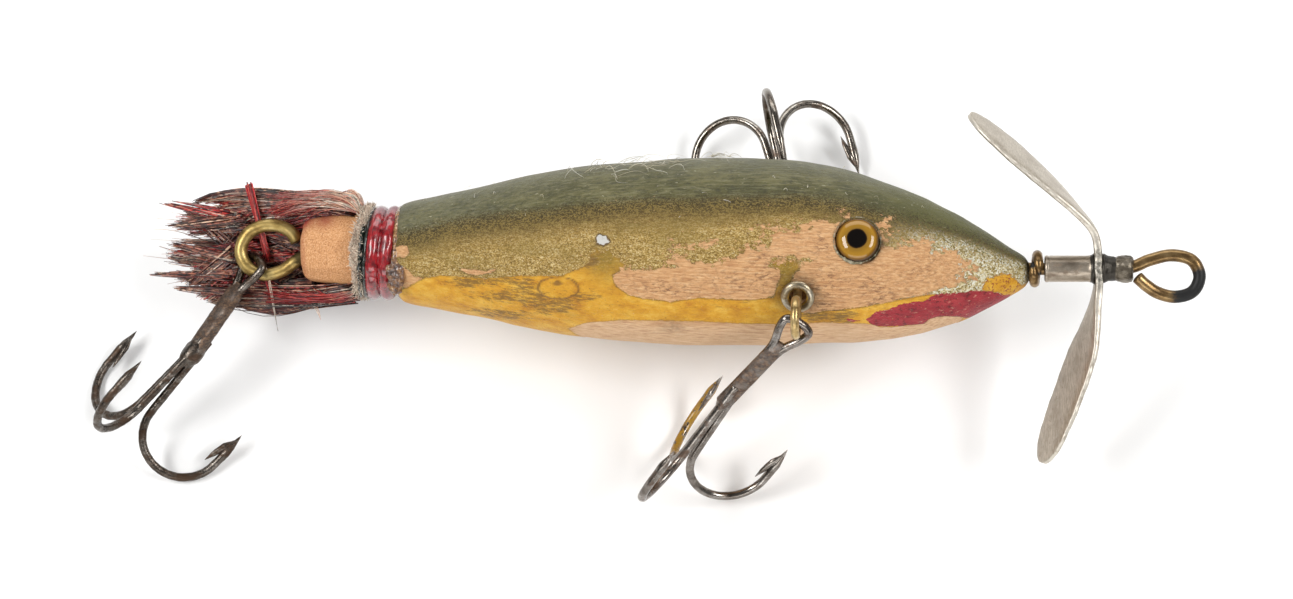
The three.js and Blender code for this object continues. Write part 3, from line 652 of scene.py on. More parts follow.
def blade_metal():
    """Tarnished strip metal: long fine scratches, brown specks, and pale edges, partly rubbed and partly a painted
    highlight.
    """
    finish = Finish("blade_metal", Metallic=0.85)
    slanted = finish.node("Mapping", {
        "Vector": finish.place, "Rotation": (0.0, 0.0, BLADE_SCRATCH_SLANT), "Scale": BLADE_SCRATCHES_PER_METRE,
    }).outputs[0]
    inputs = {"Vector": slanted, "Scale": 1.0, "Detail": 4.0, "Roughness": 0.65}
    scratch = finish.node("TexNoise", inputs).outputs["Fac"]
    broad = finish.grain(2.6, 1.0, 6.0, 0.65)
    colour = finish.mix(finish.step(scratch, 0.35, 0.65), seen(200, 188, 170), seen(236, 226, 210))
    colour = finish.mix(finish.step(broad, 0.42, 0.7, 0.0, 0.5), colour, seen(178, 164, 146))
    colour = finish.speckled(colour, (112, 92, 74), 0.7, (0.3, 1.0, 5.0, 0.7), 0.6, 0.7)  # specks
    # Pale edges: rubbed wear, and a painted highlight where the edge's thickness catches the light
    rubbed_and_lit = finish.times(finish.value("edge"), finish.spots((0.8, 1.0, 5.0, 0.7), 0.35, 0.55))
    colour = finish.mix(rubbed_and_lit, colour, seen(240, 232, 218))
    hub = finish.times(finish.value("hub"), finish.spots((0.5, 1.0, 5.0, 0.7), 0.3, 0.62))
    colour = finish.mix(hub, colour, seen(130, 126, 116))
    rough = finish.plus(0.34, finish.times(scratch, 0.2))
    normal = finish.bump(scratch, 0.02)
    return finish.done(Base_Color=colour, Roughness=rough, Normal=normal)


def brass_wire(name, pale, mid, deep, stain_colour, roughness):
    """Old brass: soft brown mottling, fine scratches, and stain where the mesh holds it; on the tail ring that is
    partly painted shade.
    """
    finish = Finish(name, Metallic=0.8)
    fine = finish.grain(0.22, 3.0, 6.0, 0.7)
    broad = finish.grain(1.3, 1.5, 5.0, 0.65)
    colour = finish.ramp(broad, [(0.34, deep), (0.5, mid), (0.64, pale)])
    colour = finish.mix(finish.step(fine, 0.52, 0.68, 0.0, 0.4), colour, deep)
    stain = finish.step(finish.plus(finish.value("stain"), finish.less(broad, 0.5)), 0.3, 0.62)
    colour = finish.mix(stain, colour, stain_colour)
    rough = finish.plus(roughness, finish.times(stain, 0.2))
    rough = finish.plus(rough, finish.times(fine, 0.1))
    normal = finish.bump(fine, 0.008)
    return finish.done(Base_Color=colour, Roughness=rough, Normal=normal)


def hook_steel(name, *layers):
    """Old hook wire as dull_metal makes it, with ochre paint where the mesh holds it, and a brown
    crust where the mesh holds less than nothing."""
    finish = Finish(name)
    colour, rough, normal = dull_metal(finish, *layers)
    uneven = finish.times(finish.less(finish.grain(1.1, 1.0, 5.0, 0.7), 0.5), 1.5)
    held = finish.value("painted")
    painted = finish.step(finish.plus(held, uneven), 0.45, 0.55)
    brown = finish.times(finish.step(held, -0.3, -0.8), finish.step(uneven, 0.2, -0.2, 0.35, 0.9))
    scale = finish.grain(0.35, 1.6, 6.0, 0.8)
    crust = finish.ramp(scale, [(0.38, seen(44, 32, 26)), (0.5, seen(90, 66, 50)), (0.62, seen(146, 112, 80))])
    colour = finish.mix(brown, colour, crust)
    colour = finish.mix(painted, colour, seen(178, 136, 48))
    metal = finish.less(1.0, finish.math("MAXIMUM", painted, finish.times(brown, 0.85)))
    rough = finish.plus(rough, finish.times(brown, 0.3))
    return finish.done(Base_Color=colour, Metallic=metal, Roughness=rough, Normal=normal)


# Wood

# The painted wood: how far behind the nose, centre height, half height
WOOD = np.array([
    [0.0, -0.4, 1.0], [0.5, -0.4, 1.75], [2.3, -0.38, 2.95], [5.9, -0.14, 5.1], [8.4, 0.0, 6.45],
    [10.8, 0.2, 7.45], [13.2, 0.44, 8.38], [15.7, 0.73, 9.17], [18.1, 1.0, 9.78], [21.5, 1.42, 10.5],
    [25.4, 1.85, 10.95], [30.0, 2.05, 11.4], [36.0, 2.1, 11.5], [42.6, 2.1, 11.4], [47.5, 2.1, 11.1],
    [52.5, 2.1, 10.7], [57.4, 2.12, 10.05], [62.4, 2.15, 9.15], [67.3, 2.12, 8.02], [72.3, 2.1, 7.0],
    [76.4, 2.05, 6.1], [77.1, 2.05, 5.6], [77.3, 2.05, 4.7],
])
WOOD_WIDTH = 0.97
# The bare stub: how far behind the nose, half height; its centre height at both ends, its flats
STUB = np.array([
    [76.5, 4.62], [79.0, 4.6], [82.4, 4.55], [84.8, 4.35], [87.6, 3.95],
    [88.5, 3.78], [88.95, 3.5], [89.2, 3.0], [89.33, 2.2], [89.4, 1.0],
])
STUB_HEIGHTS, STUB_FLATS = (2.4, 2.5), 7
EYE_STATION, EYE_HEIGHT, EYE_RADIUS = -20.5, 3.4, 2.64
EYE_RISE, PUTTY_RADIUS = 1.2, 2.8
EYE_ANGLE = 10.6
FOOT = np.array([-27.6, -3.1, 10.0])
FOOT_ANGLE = -27.0

# Patches of paint: station, and angle around the body from the near side towards the back
OLIVE_EDGE = np.array([
    [-78.5, 21.0], [-70.3, 30.9], [-63.7, 30.0], [-59.4, 30.4], [-53.0, 32.3], [-46.7, 33.5],
    [-32.2, 34.0], [-22.6, 39.0], [-13.7, 40.0], [-9.1, 40.0], [-2.9, 50.0], [0.0, 53.0],
])
OCHRE_TO_BARE = [
    (-49.8, -15.3), (-49.5, -22.6), (-48.1, -27.9), (-46.6, -30.1), (-42.8, -32.2), (-39.6, -29.2),
    (-34.6, -30.8), (-32.2, -30.1), (-30.5, -28.7), (-30.1, -22.1), (-29.7, -15.1), (-30.6, -8.4),
    (-30.3, -6.8), (-28.5, -6.4), (-26.6, -7.1), (-27.7, -12.5), (-28.3, -17.5), (-28.8, -25.4),
    (-28.0, -38.4), (-26.5, -41.5), (-24.1, -39.3), (-20.2, -35.3), (-16.4, -29.8), (-13.3, -26.5),
]
OCHRE = [
    (-78.5, -56), (-76.9, -54.5), (-75.8, -43.5), (-74.7, -33.4), (-73.4, -27.7), (-71.4, -24.2),
    (-67.6, -23.1), (-65.8, -23.3), (-63.8, -21.2), (-59.3, -18.1), (-56.1, -17.2), (-54.2, -12.0),
    (-53.1, -9.5), (-52.3, -4.5), (-51.9, 0.6), (-51.0, 1.9), (-49.9, 0.6), (-48.8, -3.2),
    (-48.6, -10.7), *OCHRE_TO_BARE, (-11.7, -25.4), (-8.9, -30.0), (-6.0, -40.0), (-3.5, -55.0), (0.0, -70.0),
    (0.0, -140.0), (-8.0, -150.0), (-20.0, -150.0), (-40.0, -150.0), (-60.0, -150.0), (-72.0, -150.0), (-78.5, -140.0),
]
NOSE_OCHRE = [
    (-5.7, -30.1), (-5.4, -17.4), (-4.1, -7.1), (-2.4, -3.4), (-1.4, -24.7), (-0.8, -58.9),
    (-1.6, -80.8), (-3.1, -56.6), (-3.7, -42.8),
]
RED = [
    (-19.5, -45.4), (-18.2, -39.1), (-16.5, -36.7), (-15.3, -33.1), (-12.6, -31.6), (-11.6, -27.6),
    (-10.7, -24.7), (-9.5, -26.9), (-7.8, -25.2), (-6.0, -29.2), (-3.7, -42.8), (-3.1, -56.6),
    (-2.2, -67.4), (-2.4, -95.0), (-6.5, -100.0), (-7.5, -79.1), (-8.1, -68.2), (-9.9, -56.5),
    (-12.0, -54.0), (-12.6, -60.6), (-15.4, -56.9), (-17.9, -55.0), (-18.9, -51.5),
]
RED_SPECKS = [(-22.4, -46.8), (-21.7, -43.8), (-20.7, -45.8), (-19.8, -45.1), (-20.0, -49.0), (-21.5, -49.5)]
BELLY_BARE = [
    (-55.8, -66.9), (-54.6, -60.4), (-53.1, -54.8), (-51.0, -51.8), (-49.3, -49.7), (-45.6, -48.2),
    (-39.6, -48.3), (-34.7, -50.2), (-26.8, -50.6), (-19.1, -51.8), (-17.9, -55.6), (-15.4, -57.3),
    (-12.6, -60.0), (-12.0, -54.0), (-11.0, -53.9), (-9.8, -56.9), (-8.6, -62.9), (-8.0, -71.3),
    (-9.0, -100.0), (-12.0, -130.0), (-30.0, -130.0), (-50.0, -130.0), (-54.0, -95.0),
]
FLANK_BARE = [
    *OCHRE_TO_BARE,
    (-10.6, -23.5), (-8.9, -20.0), (-6.9, -9.6), (-6.4, 1.9), (-7.3, 8.3), (-8.6, 16.2), (-9.8, 18.8),
    (-11.7, 16.0), (-12.2, 19.7), (-13.4, 21.1), (-14.8, 15.6), (-15.3, 17.3), (-17.0, 12.3),
    (-18.0, 13.5), (-19.9, 17.2), (-23.0, 21.2), (-23.8, 22.7), (-26.1, 19.1), (-27.3, 16.1),
    (-30.6, 13.4), (-31.8, 12.7), (-32.8, 10.8), (-31.1, 6.7), (-33.7, 1.7), (-35.1, -4.3),
    (-36.9, -6.7), (-40.5, -5.5), (-43.1, -8.0), (-46.5, -12.5), (-48.7, -12.0),
]
SMALL_BARE = [
    [(-22.7, 26.4), (-22.2, 29.8), (-21.6, 29.6), (-21.4, 26.9), (-22.0, 24.5), (-22.6, 24.4)],
    [(-17.7, 27.4), (-17.2, 30.5), (-16.9, 27.0), (-16.7, 24.0), (-17.2, 22.6), (-17.6, 24.4)],
    [(-77.5, 4.6), (-76.1, 7.9), (-75.3, 4.5), (-75.2, -2.0), (-75.8, -6.5), (-77.5, -6.7)],
    [(-77.5, -13.3), (-75.4, -19.7), (-74.6, -28.3), (-73.4, -27.7), (-74.7, -34.7), (-75.9, -45.1), (-77.5, -48.4)],
    [(-68.7, -15.8), (-66.9, -16.8), (-65.7, -17.1), (-64.1, -14.3), (-65.0, -18.5), (-66.6, -21.1), (-68.1, -19.2)],
    [(-42.6, 1.7), (-41.7, 2.9), (-40.0, 2.3), (-40.5, 0.5), (-41.9, 0.5)],
    [(-38.5, 3.5), (-37.6, 4.1), (-37.8, 2.3)],
]
PRIMER_CHIP = [(-51.8, 8.4), (-51.5, 10.6), (-51.0, 9.4), (-50.7, 9.2), (-50.2, 6.0), (-50.9, 3.8), (-51.7, 4.9)]
BLISTER, BLISTER_SIZE = (-56.6, -26.1), (2.5, 1.45)
# Dirty smears on the ochre, and grime in the bare wood: place, size along and around, strength
SMEARS = [
    ((-65.6, -25.5), (5.4, 0.7), 1.5), ((-62.8, -37.5), (4.6, 0.9), 1.5), ((-57.4, -42.0), (3.2, 1.4), 1.5),
    ((-60.6, -27.5), (1.2, 1.3), 0.9), ((-64.4, -62.0), (4.2, 1.5), 1.4), ((-53.6, -31.5), (2.4, 0.6), 1.2),
    ((-52.6, -7.5), (1.8, 0.9), 0.9), ((-53.3, -4.0), (1.4, 0.8), 0.8), ((-68.4, -31.0), (1.0, 1.2), 0.7),
    ((-25.6, -42.0), (1.6, 0.5), 1.1), ((-22.6, -40.0), (1.8, 0.4), 1.0), ((-24.0, -46.0), (3.6, 1.0), 1.4),
]
SOILED = [
    ((-24.5, -20.0), (2.2, 2.6), 0.8), ((-18.5, -20.0), (4.0, 2.2), 0.6), ((-25.5, -36.0), (2.4, 0.8), 0.9),
    ((-17.0, -33.0), (3.0, 0.8), 0.5), ((-44.5, -23.0), (4.0, 1.5), 0.7), ((-36.0, -22.0), (4.0, 1.8), 0.6),
    ((-31.5, -10.0), (1.6, 2.0), 0.6), ((-24.5, 9.0), (1.2, 1.6), 0.6), ((-14.0, -5.0), (2.0, 2.5), 0.4),
    ((-44.8, -60.5), (1.2, 0.5), 1.0), ((-28.0, -58.0), (3.0, 0.5), 0.5), ((-51.0, -57.0), (2.0, 0.6), 0.5),
]


def wood_at(station):
    """Centre height and half height of the painted body at each station."""
    behind = np.clip(-np.asarray(station, float), 0.0, WOOD[-1, 0])
    return smooth_rows(WOOD[:, 0], WOOD[:, 1], behind), smooth_rows(WOOD[:, 0], WOOD[:, 2], behind)


def on_body(station, degrees, off=0.0):
    """Point of the body's skin at a station and an angle, off the skin by a distance: a slightly
    narrowed circle about the centre line."""
    centre, half = wood_at(station)
    angle = np.radians(degrees)
    up = np.sin(angle)
    out = np.cos(angle)
    return np.stack([station + 0 * up, centre + (half + off) * up, (WOOD_WIDTH * half + off) * out], axis=-1)


def inside(outline, along, around):
    """Distance from an outline's edge, positive inside it: the least distance to any side, with the
    sign from how often a level line crosses the sides."""
    outline = np.array(outline, float)
    corners = np.stack([outline[:, 0], arc(outline[:, 0], outline[:, 1])], axis=1)
    least = np.full(along.shape, 1e9)
    crossed = np.zeros(along.shape, bool)
    for (ax, ay), (bx, by) in zip(corners, np.roll(corners, -1, axis=0)):
        dx, dy = bx - ax, by - ay
        share = np.clip(((along - ax) * dx + (around - ay) * dy) / (dx * dx + dy * dy), 0.0, 1.0)
        least = np.minimum(least, np.hypot(along - ax - share * dx, around - ay - share * dy))
        spans = (ay > around) != (by > around)
        crossed ^= spans & (along < ax + (around - ay) * dx / (dy if dy else 1e-9))
    return np.where(crossed, least, -least)


def arc(station, degrees):
    """Distance around the body from its near side."""
    return wood_at(station)[1] * np.radians(degrees)


def bell(along, around, place, size):
    """1 at a place on the body and less away from it, as a bell curve of a size along the lure and
    one around it."""
    x, y = place
    wide, high = size if np.ndim(size) else (size, size)
    return np.exp(-(((along - x) / wide) ** 2) - ((around - arc(x, y)) / high) ** 2)


def painted_body():
    """The body's skin: rings along the lure, closer together towards the near side. It is raised
    by carving marks, a blister and the paint, and cut back at the eyes and screw eyes."""
    behind = np.concatenate([np.linspace(0.0, 76.0, 352), np.linspace(76.2, WOOD[-1, 0], 10)])
    turn = circle(252)
    angle = turn - 0.33 * np.sin(turn)
    station = np.repeat(-behind, len(angle))
    degrees = (np.degrees(np.tile(angle, len(behind))) + 180.0) % 360.0 - 180.0
    far = np.abs(degrees) > 90.0
    side_degrees = np.where(far, np.sign(degrees) * 180.0 - degrees, degrees)
    # The far flank is painted alike but not the same
    along = station + far * (1.4 * np.sin(station / 6.0) + 0.8)
    side_degrees = side_degrees + far * 5.0 * np.sin(station / 4.3 + 1.0) * np.cos(np.radians(side_degrees))
    around = arc(station, side_degrees)

    base = on_body(station, degrees)
    bare = np.maximum(inside(FLANK_BARE, along, around) - far * 1.6, inside(BELLY_BARE, along, around))
    for outline in SMALL_BARE:
        bare = np.maximum(bare, inside(outline, along, around))
    ochre = np.maximum(inside(OCHRE, along, around), inside(NOSE_OCHRE, along, around))
    red = np.maximum(inside(RED, along, around), inside(RED_SPECKS, along, around) - 0.25)
    olive = around - arc(station, np.interp(along, OLIVE_EDGE[:, 0], OLIVE_EDGE[:, 1]))
    primer = np.where(far, -3.0, inside(PRIMER_CHIP, along, around))
    from_eye = np.hypot(station - EYE_STATION, around - arc(EYE_STATION, EYE_ANGLE))
    from_foot = np.hypot(station - FOOT[0], around - arc(FOOT[0], FOOT_ANGLE))

    flank_top = ease(side_degrees, -16.0, -4.0) * ease(along, -56.0, -48.0)
    head = ease(along, -16.0, -9.0) * ease(side_degrees, -30.0, -18.0)
    ragged = 1.2 + 12.0 * flank_top + 8.0 * head * (1 - flank_top)
    dirt = sum(strength * bell(along, around, place, size) for place, size, strength in SMEARS)
    dirt += 0.3 * ease(-station, 60.0, 40.0) * ease(ochre, 2.0, 0.3)
    soil = sum(strength * bell(along, around, place, size) for place, size, strength in SOILED)
    grime = 0.55 * ease(from_foot, 3.6, 2.0) + 0.3 * ease(from_eye, 3.3, 2.7)
    grime += 0.8 * bell(along, around, (-17.4, 12.0), 0.8) + 0.8 * ease(station, -0.9, -0.2)
    grime += 0.45 * bell(along, around, (-43.0, -54.0), 1.6) + 0.7 * ease(-station, 76.7, 77.2)
    swell = np.hypot((station - BLISTER[0]) / BLISTER_SIZE[0], (around - arc(*BLISTER)) / BLISTER_SIZE[1])
    scar = np.exp(-(((swell - 1.0 - 0.06 * lumps(base, 0.7, 18)) / 0.05) ** 2))
    scar += 0.8 * ease(lumps(base, 0.9, 19), 0.35, 0.6) * (swell < 0.7)
    thin_ochre = bell(along, around, (-50.6, -3.0), 2.6) + 0.9 * bell(along, around, (-28.9, -11.0), 3.4)
    thin_ochre = np.clip(thin_ochre, 0, 1)
    thinned = thin_ochre * (0.55 * lumps(base, 0.9, 24) + 0.35 * lumps(base, 0.4, 25))
    values = {
        "ridge": np.clip(scar, 0, 1) * ~far, "soil": np.clip(soil, 0, 1),
        # Painted light on the belly's bare wood, where it faces the floor
        "under": ease(-side_degrees, 44.0, 58.0),
        "spattered": ease(along, -6.5, -5.0) * ease(-along, 0.8, 1.6),
        "bare": np.clip(bare, -3, 3), "ochre": np.clip(ochre, -3, 3) + thinned, "red": np.clip(red, -3, 3),
        "olive": np.clip(olive, -6, 6), "primer": np.clip(primer, -3, 3),
        "ragged": ragged, "dirt": dirt, "grime": np.clip(grime, 0, 1),
        "thin_ochre": thin_ochre,
        "nose_flake": ease(along, -19.0, -9.0) * ease(side_degrees, 44.0, 25.0),
        "nose_green": ease(along, -24.0, -10.0),
        "soft_edge": 1.5 + 3.0 * ease(along, -24.0, -8.0),
        # Painted sheen on the olive: strong along the upper edge, weaker towards the tail
        "bloom": 0.75 * ease(side_degrees, 44.0, 80.0) + 0.45 * ease(-along, 56.0, 70.0),
    }

    lift = 0.09 * lumps(base, 6.0, 1) + 0.035 * lumps(base, 2.1, 2)
    lift -= 0.07 * ease(bare + 0.25 * lumps(base, 0.8, 3), -0.12, 0.12)
    lift += ~far * (0.2 * np.exp(-(((swell - 0.9) / 0.12) ** 2)) + 0.12 * ease(swell, 1.0, 0.7))
    crumble = 0.08 * lumps(base, 0.45, 4)
    lift -= 1.0 * ease(from_eye + crumble, 2.74, 2.54)
    lift -= 0.55 * ease(from_foot, 0.95, 0.7)
    points = on_body(station, degrees, lift)
    rings = at_rest(points).reshape(len(behind), len(angle), 3)[::-1]
    values = {name: v.reshape(len(behind), -1)[::-1].ravel() for name, v in values.items()}
    tips = at_rest([[-WOOD[-1, 0], WOOD[-1, 1], 0.0], [0.0, WOOD[0, 1], 0.0]])
    return skin(rings, tips, values)


def whittled_stub():
    """The bare stub: a round with knife flats, which narrows to the tail and ends in a low dome."""
    behind, half = STUB.T
    fine = np.concatenate([np.linspace(behind[0], 88.4, 60), np.linspace(88.5, behind[-1], 14)])
    angle = circle(96)
    flats = 1.0 - 0.035 * np.cos(STUB_FLATS * angle[None, :] + 0.25 * np.sin(fine[:, None] / 3.0))
    off = np.interp(fine, behind, half)[:, None] * np.clip(flats, 0.0, 1.01)
    points = np.stack([
        np.repeat(-fine[:, None], 96, axis=1),
        np.interp(fine, behind, np.linspace(*STUB_HEIGHTS, len(behind)))[:, None] + off * np.sin(angle),
        WOOD_WIDTH * off * np.cos(angle),
    ], axis=-1)
    station, height = points[..., 0], points[..., 1]
    dyed = ease(height, 4.4, 6.3) * ease(-station, 83.0, 88.0) * (0.7 + 0.3 * np.sin(station * 2.1))
    dyed += 0.25 * ease(-station, 88.2, 88.8)
    tips = at_rest([[-89.45, STUB_HEIGHTS[1], 0.0], [-behind[0], STUB_HEIGHTS[0], 0.0]])
    return skin(at_rest(points)[::-1], tips, {"dyed": dyed[::-1]}).roughened(0.06, 1.3, 5)


def skin_depth(station, height):
    """Distance of the skin from the middle plane: the half width of the section's ellipse there."""
    centre, half = wood_at(station)
    return WOOD_WIDTH * half * np.sqrt(1.0 - ((height - centre) / half) ** 2)


def seat_on_skin(station, height, side):
    """Point of a flank's skin at a station and a height, and the direction square to it there."""
    depth = skin_depth(station, height)
    normal = unit([0.0, (height - wood_at(station)[0]) * WOOD_WIDTH**2, depth])
    return np.array([station, height, side * depth]), normal * [1, 1, side]


def ring_on(normal, count):
    """Directions round a circle square to a normal: cosine along the lure plus sine across it."""
    angle = circle(count)[:, None]
    return np.cos(angle) * ALONG + np.sin(angle) * np.cross(normal, ALONG)


def glass_eye(side):
    """Domed disc: an ellipse of height over radius, on a short drum set in the wood."""
    seat, normal = seat_on_skin(EYE_STATION, EYE_HEIGHT, side)
    turn = np.linspace(0.0, math.pi / 2, 34)[:-1]
    drum = [[-1.75, 2.2], [-1.5, 2.55], [-0.4, EYE_RADIUS]]
    dome = np.stack([EYE_RISE * np.sin(turn) - 0.2, EYE_RADIUS * np.cos(turn)], axis=1)
    rows = np.vstack([drum, dome])
    out = np.concatenate([[1.0] * 3, np.cos(turn)])
    return turned(rows, at_rest(seat), normal @ LURE_AXES, FORWARD, 72, out=out)


def eye_putty(side):
    """Crumbling paste around an eye: a ring whose thickness and height vary with noise."""
    normal = seat_on_skin(EYE_STATION, EYE_HEIGHT, side)[1]
    ring = ring_on(normal, 200)
    low = ease(ring @ np.array([-0.6, -0.8, 0.0]), 0.1, 0.9) + 0.5 * ease(ring @ np.array([0.8, 0.4, 0.0]), 0.6, 1.0)
    thick = 0.14 * low + 0.1 * lumps(ring * 9.0, 1.0, 6 + side) + 0.06 * lumps(ring * 30.0, 1.0, 8)
    station = EYE_STATION + PUTTY_RADIUS * ring[:, 0]
    height = EYE_HEIGHT + PUTTY_RADIUS * ring[:, 1]
    path = np.stack([station, height, side * skin_depth(station, height)], axis=1)
    rings = cord_rings(path, ring, normal, np.clip(thick, 0.02, 0.4), 12)
    return skin(rings[::side]).roughened(0.09, 0.22, 9)


# Thread, hide and hair

RED_BINDING = (-80.6, -77.3)
BLACK_BINDING = (-81.6, -80.35)
WINDING_CENTRE = 2.05
THREAD_RIDGES, THREAD_BORE, THREAD_LEAN = 2, 4.5, 0.45
GLUE_MIDDLE, GLUE_SIZE = np.array([-77.1, -0.9, 5.15]), (1.05, 2.5, 0.9)
HIDE_CENTRE = np.array([-82.0, 2.2, 0.0])
HAIR_ROOT, HAIR_ROOT_RADIUS = np.array([-82.6, 2.2, 0.0]), 5.0
# The tail's own locks stay this far towards the far side, clear of the ring
HAIR_DEPTH = -2.0


def wound_thread(span, radius):
    """Thread wound in two ridges: a bore and half sine arches side by side over it, leaning back at
    the top, with a painted sheen at the back and the belly, which is where the light grazes."""
    start, end = span
    station = np.linspace(start, end, 30 * THREAD_RIDGES)
    share = (station - start) / (end - start) * THREAD_RIDGES
    arch = np.abs(np.sin(np.pi * np.clip(share, 0.02, THREAD_RIDGES - 0.02))) ** 0.6
    outer = np.stack([station, radius - 0.6 + 0.6 * arch], axis=1)
    rows = np.vstack([outer, [[end, THREAD_BORE], [start, THREAD_BORE]]])
    shell = turned(rows, at_rest([0.0, WINDING_CENTRE, 0.0]), FORWARD, NEARWARD, 180, tips=False)
    around = shell.values["around"]
    # Painted sheen: marked at the back and the belly, where the light grazes the winding
    shell.values["dusty"] = ease(np.abs(np.sin(around)), 0.74, 0.99) * (0.75 + 0.25 * (np.cos(around) > 0))
    shell.points = shell.points - FORWARD * (THREAD_LEAN * (np.sin(around) + 0.35))[:, None]
    return shell.roughened(0.13, 1.3, 11).roughened(0.03, 0.5, 12)


def hide_lean(angle):
    """How far the hide leans forward: most over the back, a little at the belly."""
    return 0.95 * ease(np.sin(angle), 0.1, 1.0) + 0.1 * ease(-np.sin(angle), 0.3, 1.0)


def hide_strip():
    """Hide around the stub: a thick cord that leans forward over the back, lumpy all over."""
    angle = circle(220)
    path = HIDE_CENTRE + 4.95 * spokes(angle) + np.outer(hide_lean(angle), ALONG)
    thick = 0.62 + 0.1 * lumps(path, 1.4, 12)
    rings = cord_rings(path, spokes(angle), np.array([1.05, 0.0, 0.0]), thick, 16)
    return skin(rings[::-1]).roughened(0.24, 0.8, 13).roughened(0.12, 0.3, 14)


def glue_lump():
    """The clotted lump of glue by the red thread: a ball drawn out around the body, lumpy."""
    sides = 90
    polar = np.linspace(0.0, math.pi, 60)[1:-1]
    angle = circle(sides)
    along, around, depth = GLUE_SIZE
    ball = np.stack([
        along * np.sin(polar)[:, None] * np.cos(angle),
        around * np.sin(polar)[:, None] * np.sin(angle),
        np.repeat(depth * np.cos(polar)[:, None], sides, axis=1),
    ], axis=-1)
    tips = at_rest(GLUE_MIDDLE + np.array([[0, 0, -depth], [0, 0, depth]]))
    shell = skin(at_rest(GLUE_MIDDLE + ball)[::-1], tips)
    return shell.roughened(0.42, 0.8, 14).roughened(0.16, 0.3, 15)


def glue_bead():
    """The thin bead of old varnish between the thread and the paint, thick and thin by turns."""
    angle = circle(260)
    height = WINDING_CENTRE + 5.45 * np.sin(angle)
    path = np.stack([-77.05 + 0.1 * np.sin(3 * angle), height, 5.3 * np.cos(angle)], axis=1)
    thick = np.clip(0.36 + 0.22 * lumps(path, 0.9, 16), 0.12, 0.7)
    return skin(cord_rings(path, spokes(angle), ALONG, thick, 10)[::-1]).roughened(0.05, 0.3, 17)


def strands(controls, width, colours, rows=9, sides=3):
    """Many hairs at once. Each is a cubic curve over its four control points, a thin tube that
    tapers, with its colour running from the first to the last of its three."""
    count = len(controls)
    t = np.linspace(0.0, 1.0, rows)
    weights = np.stack([(1 - t) ** 3, 3 * t * (1 - t) ** 2, 3 * t**2 * (1 - t), t**3], axis=1)
    line = np.einsum("rk,nkc->nrc", weights, controls)
    tangent = unit(np.gradient(line, axis=1))
    side = unit(np.cross(tangent, [0.31, 0.17, 0.93]))
    other = np.cross(tangent, side)
    angle = circle(sides)
    taper = (1.0 - 0.72 * t**2)[None, :, None, None]
    thick = 0.5 * np.reshape(width, (-1, 1, 1, 1)) * taper
    spread = np.cos(angle)[:, None] * side[:, :, None, :] + np.sin(angle)[:, None] * other[:, :, None, :]
    points = at_rest((line[:, :, None, :] + thick * spread).reshape(-1, 3))
    one = np.arange((rows - 1) * sides).reshape(rows - 1, sides)
    beside = one - np.arange(sides) + (np.arange(sides) + 1) % sides
    quads = np.stack([one, beside, beside + sides, one + sides], axis=-1).reshape(-1, 4)
    starts = np.arange(count) * rows * sides
    quads = (quads[None] + starts[:, None, None]).reshape(-1, 4)
    last = (rows - 1) * sides
    caps = np.array([[2, 1, 0], [last, last + 1, last + 2]])
    triangles = (caps[None] + starts[:, None, None]).reshape(-1, 3)
    first = np.clip(1 - 2 * t, 0, 1)[None, :, None]
    third = np.clip(2 * t - 1, 0, 1)[None, :, None]
    tint = first * colours[0][:, None] + (1 - first - third) * colours[1][:, None] + third * colours[2][:, None]
    tint = np.repeat(tint, sides, axis=1).reshape(-1, 3)
    return Shell(points, quads, triangles, {"tint": tint})


def bowed(start, end, bow):
    """Four control points from start to end, the inner two off the straight line at random."""
    inner = [start + (end - start) * share + CHANCE.normal(0.0, bow, start.shape) for share in (0.33, 0.67)]
    return np.stack([start, *inner, end], axis=1)


def palette(*colours):
    """Colours as they look in the tent, as rows of linear red, green and blue."""
    return np.array([seen(*colour)[:3] for colour in colours])


HAIR_DARK = palette((96, 40, 32), (126, 50, 40), (44, 30, 26), (176, 104, 80))
HAIR_RED = palette((156, 26, 34), (206, 44, 48), (120, 22, 28), (224, 84, 74))
HAIR_PALE = palette((246, 208, 176), (224, 156, 130), (255, 240, 220))
HIDE_GREYS = palette((255, 236, 214), (222, 196, 174), (160, 134, 116), (255, 244, 222))
FLUFF_PALE = palette((236, 228, 200), (214, 200, 168), (250, 246, 232))


def pick(colours, count):
    """Random colours out of a palette, each made a little lighter or darker."""
    chosen = colours[CHANCE.integers(0, len(colours), count)]
    return np.clip(chosen * CHANCE.uniform(0.6, 1.4, (count, 1)), 0.0, 0.9)


def lock_tints(own, locks, pale_share):
    """Colours for hairs by lock: dark or red locks, with pale lengths here and there."""
    red_lock = CHANCE.random(locks) < 0.45
    tints = []
    for share in (0.5, 0.6, 1.3):
        tint = np.where(red_lock[own][:, None], pick(HAIR_RED, len(own)), pick(HAIR_DARK, len(own)))
        pale = CHANCE.random(len(own)) < pale_share * share
        tint[pale] = pick(HAIR_PALE, int(pale.sum()))
        tints.append(tint)
    return tints


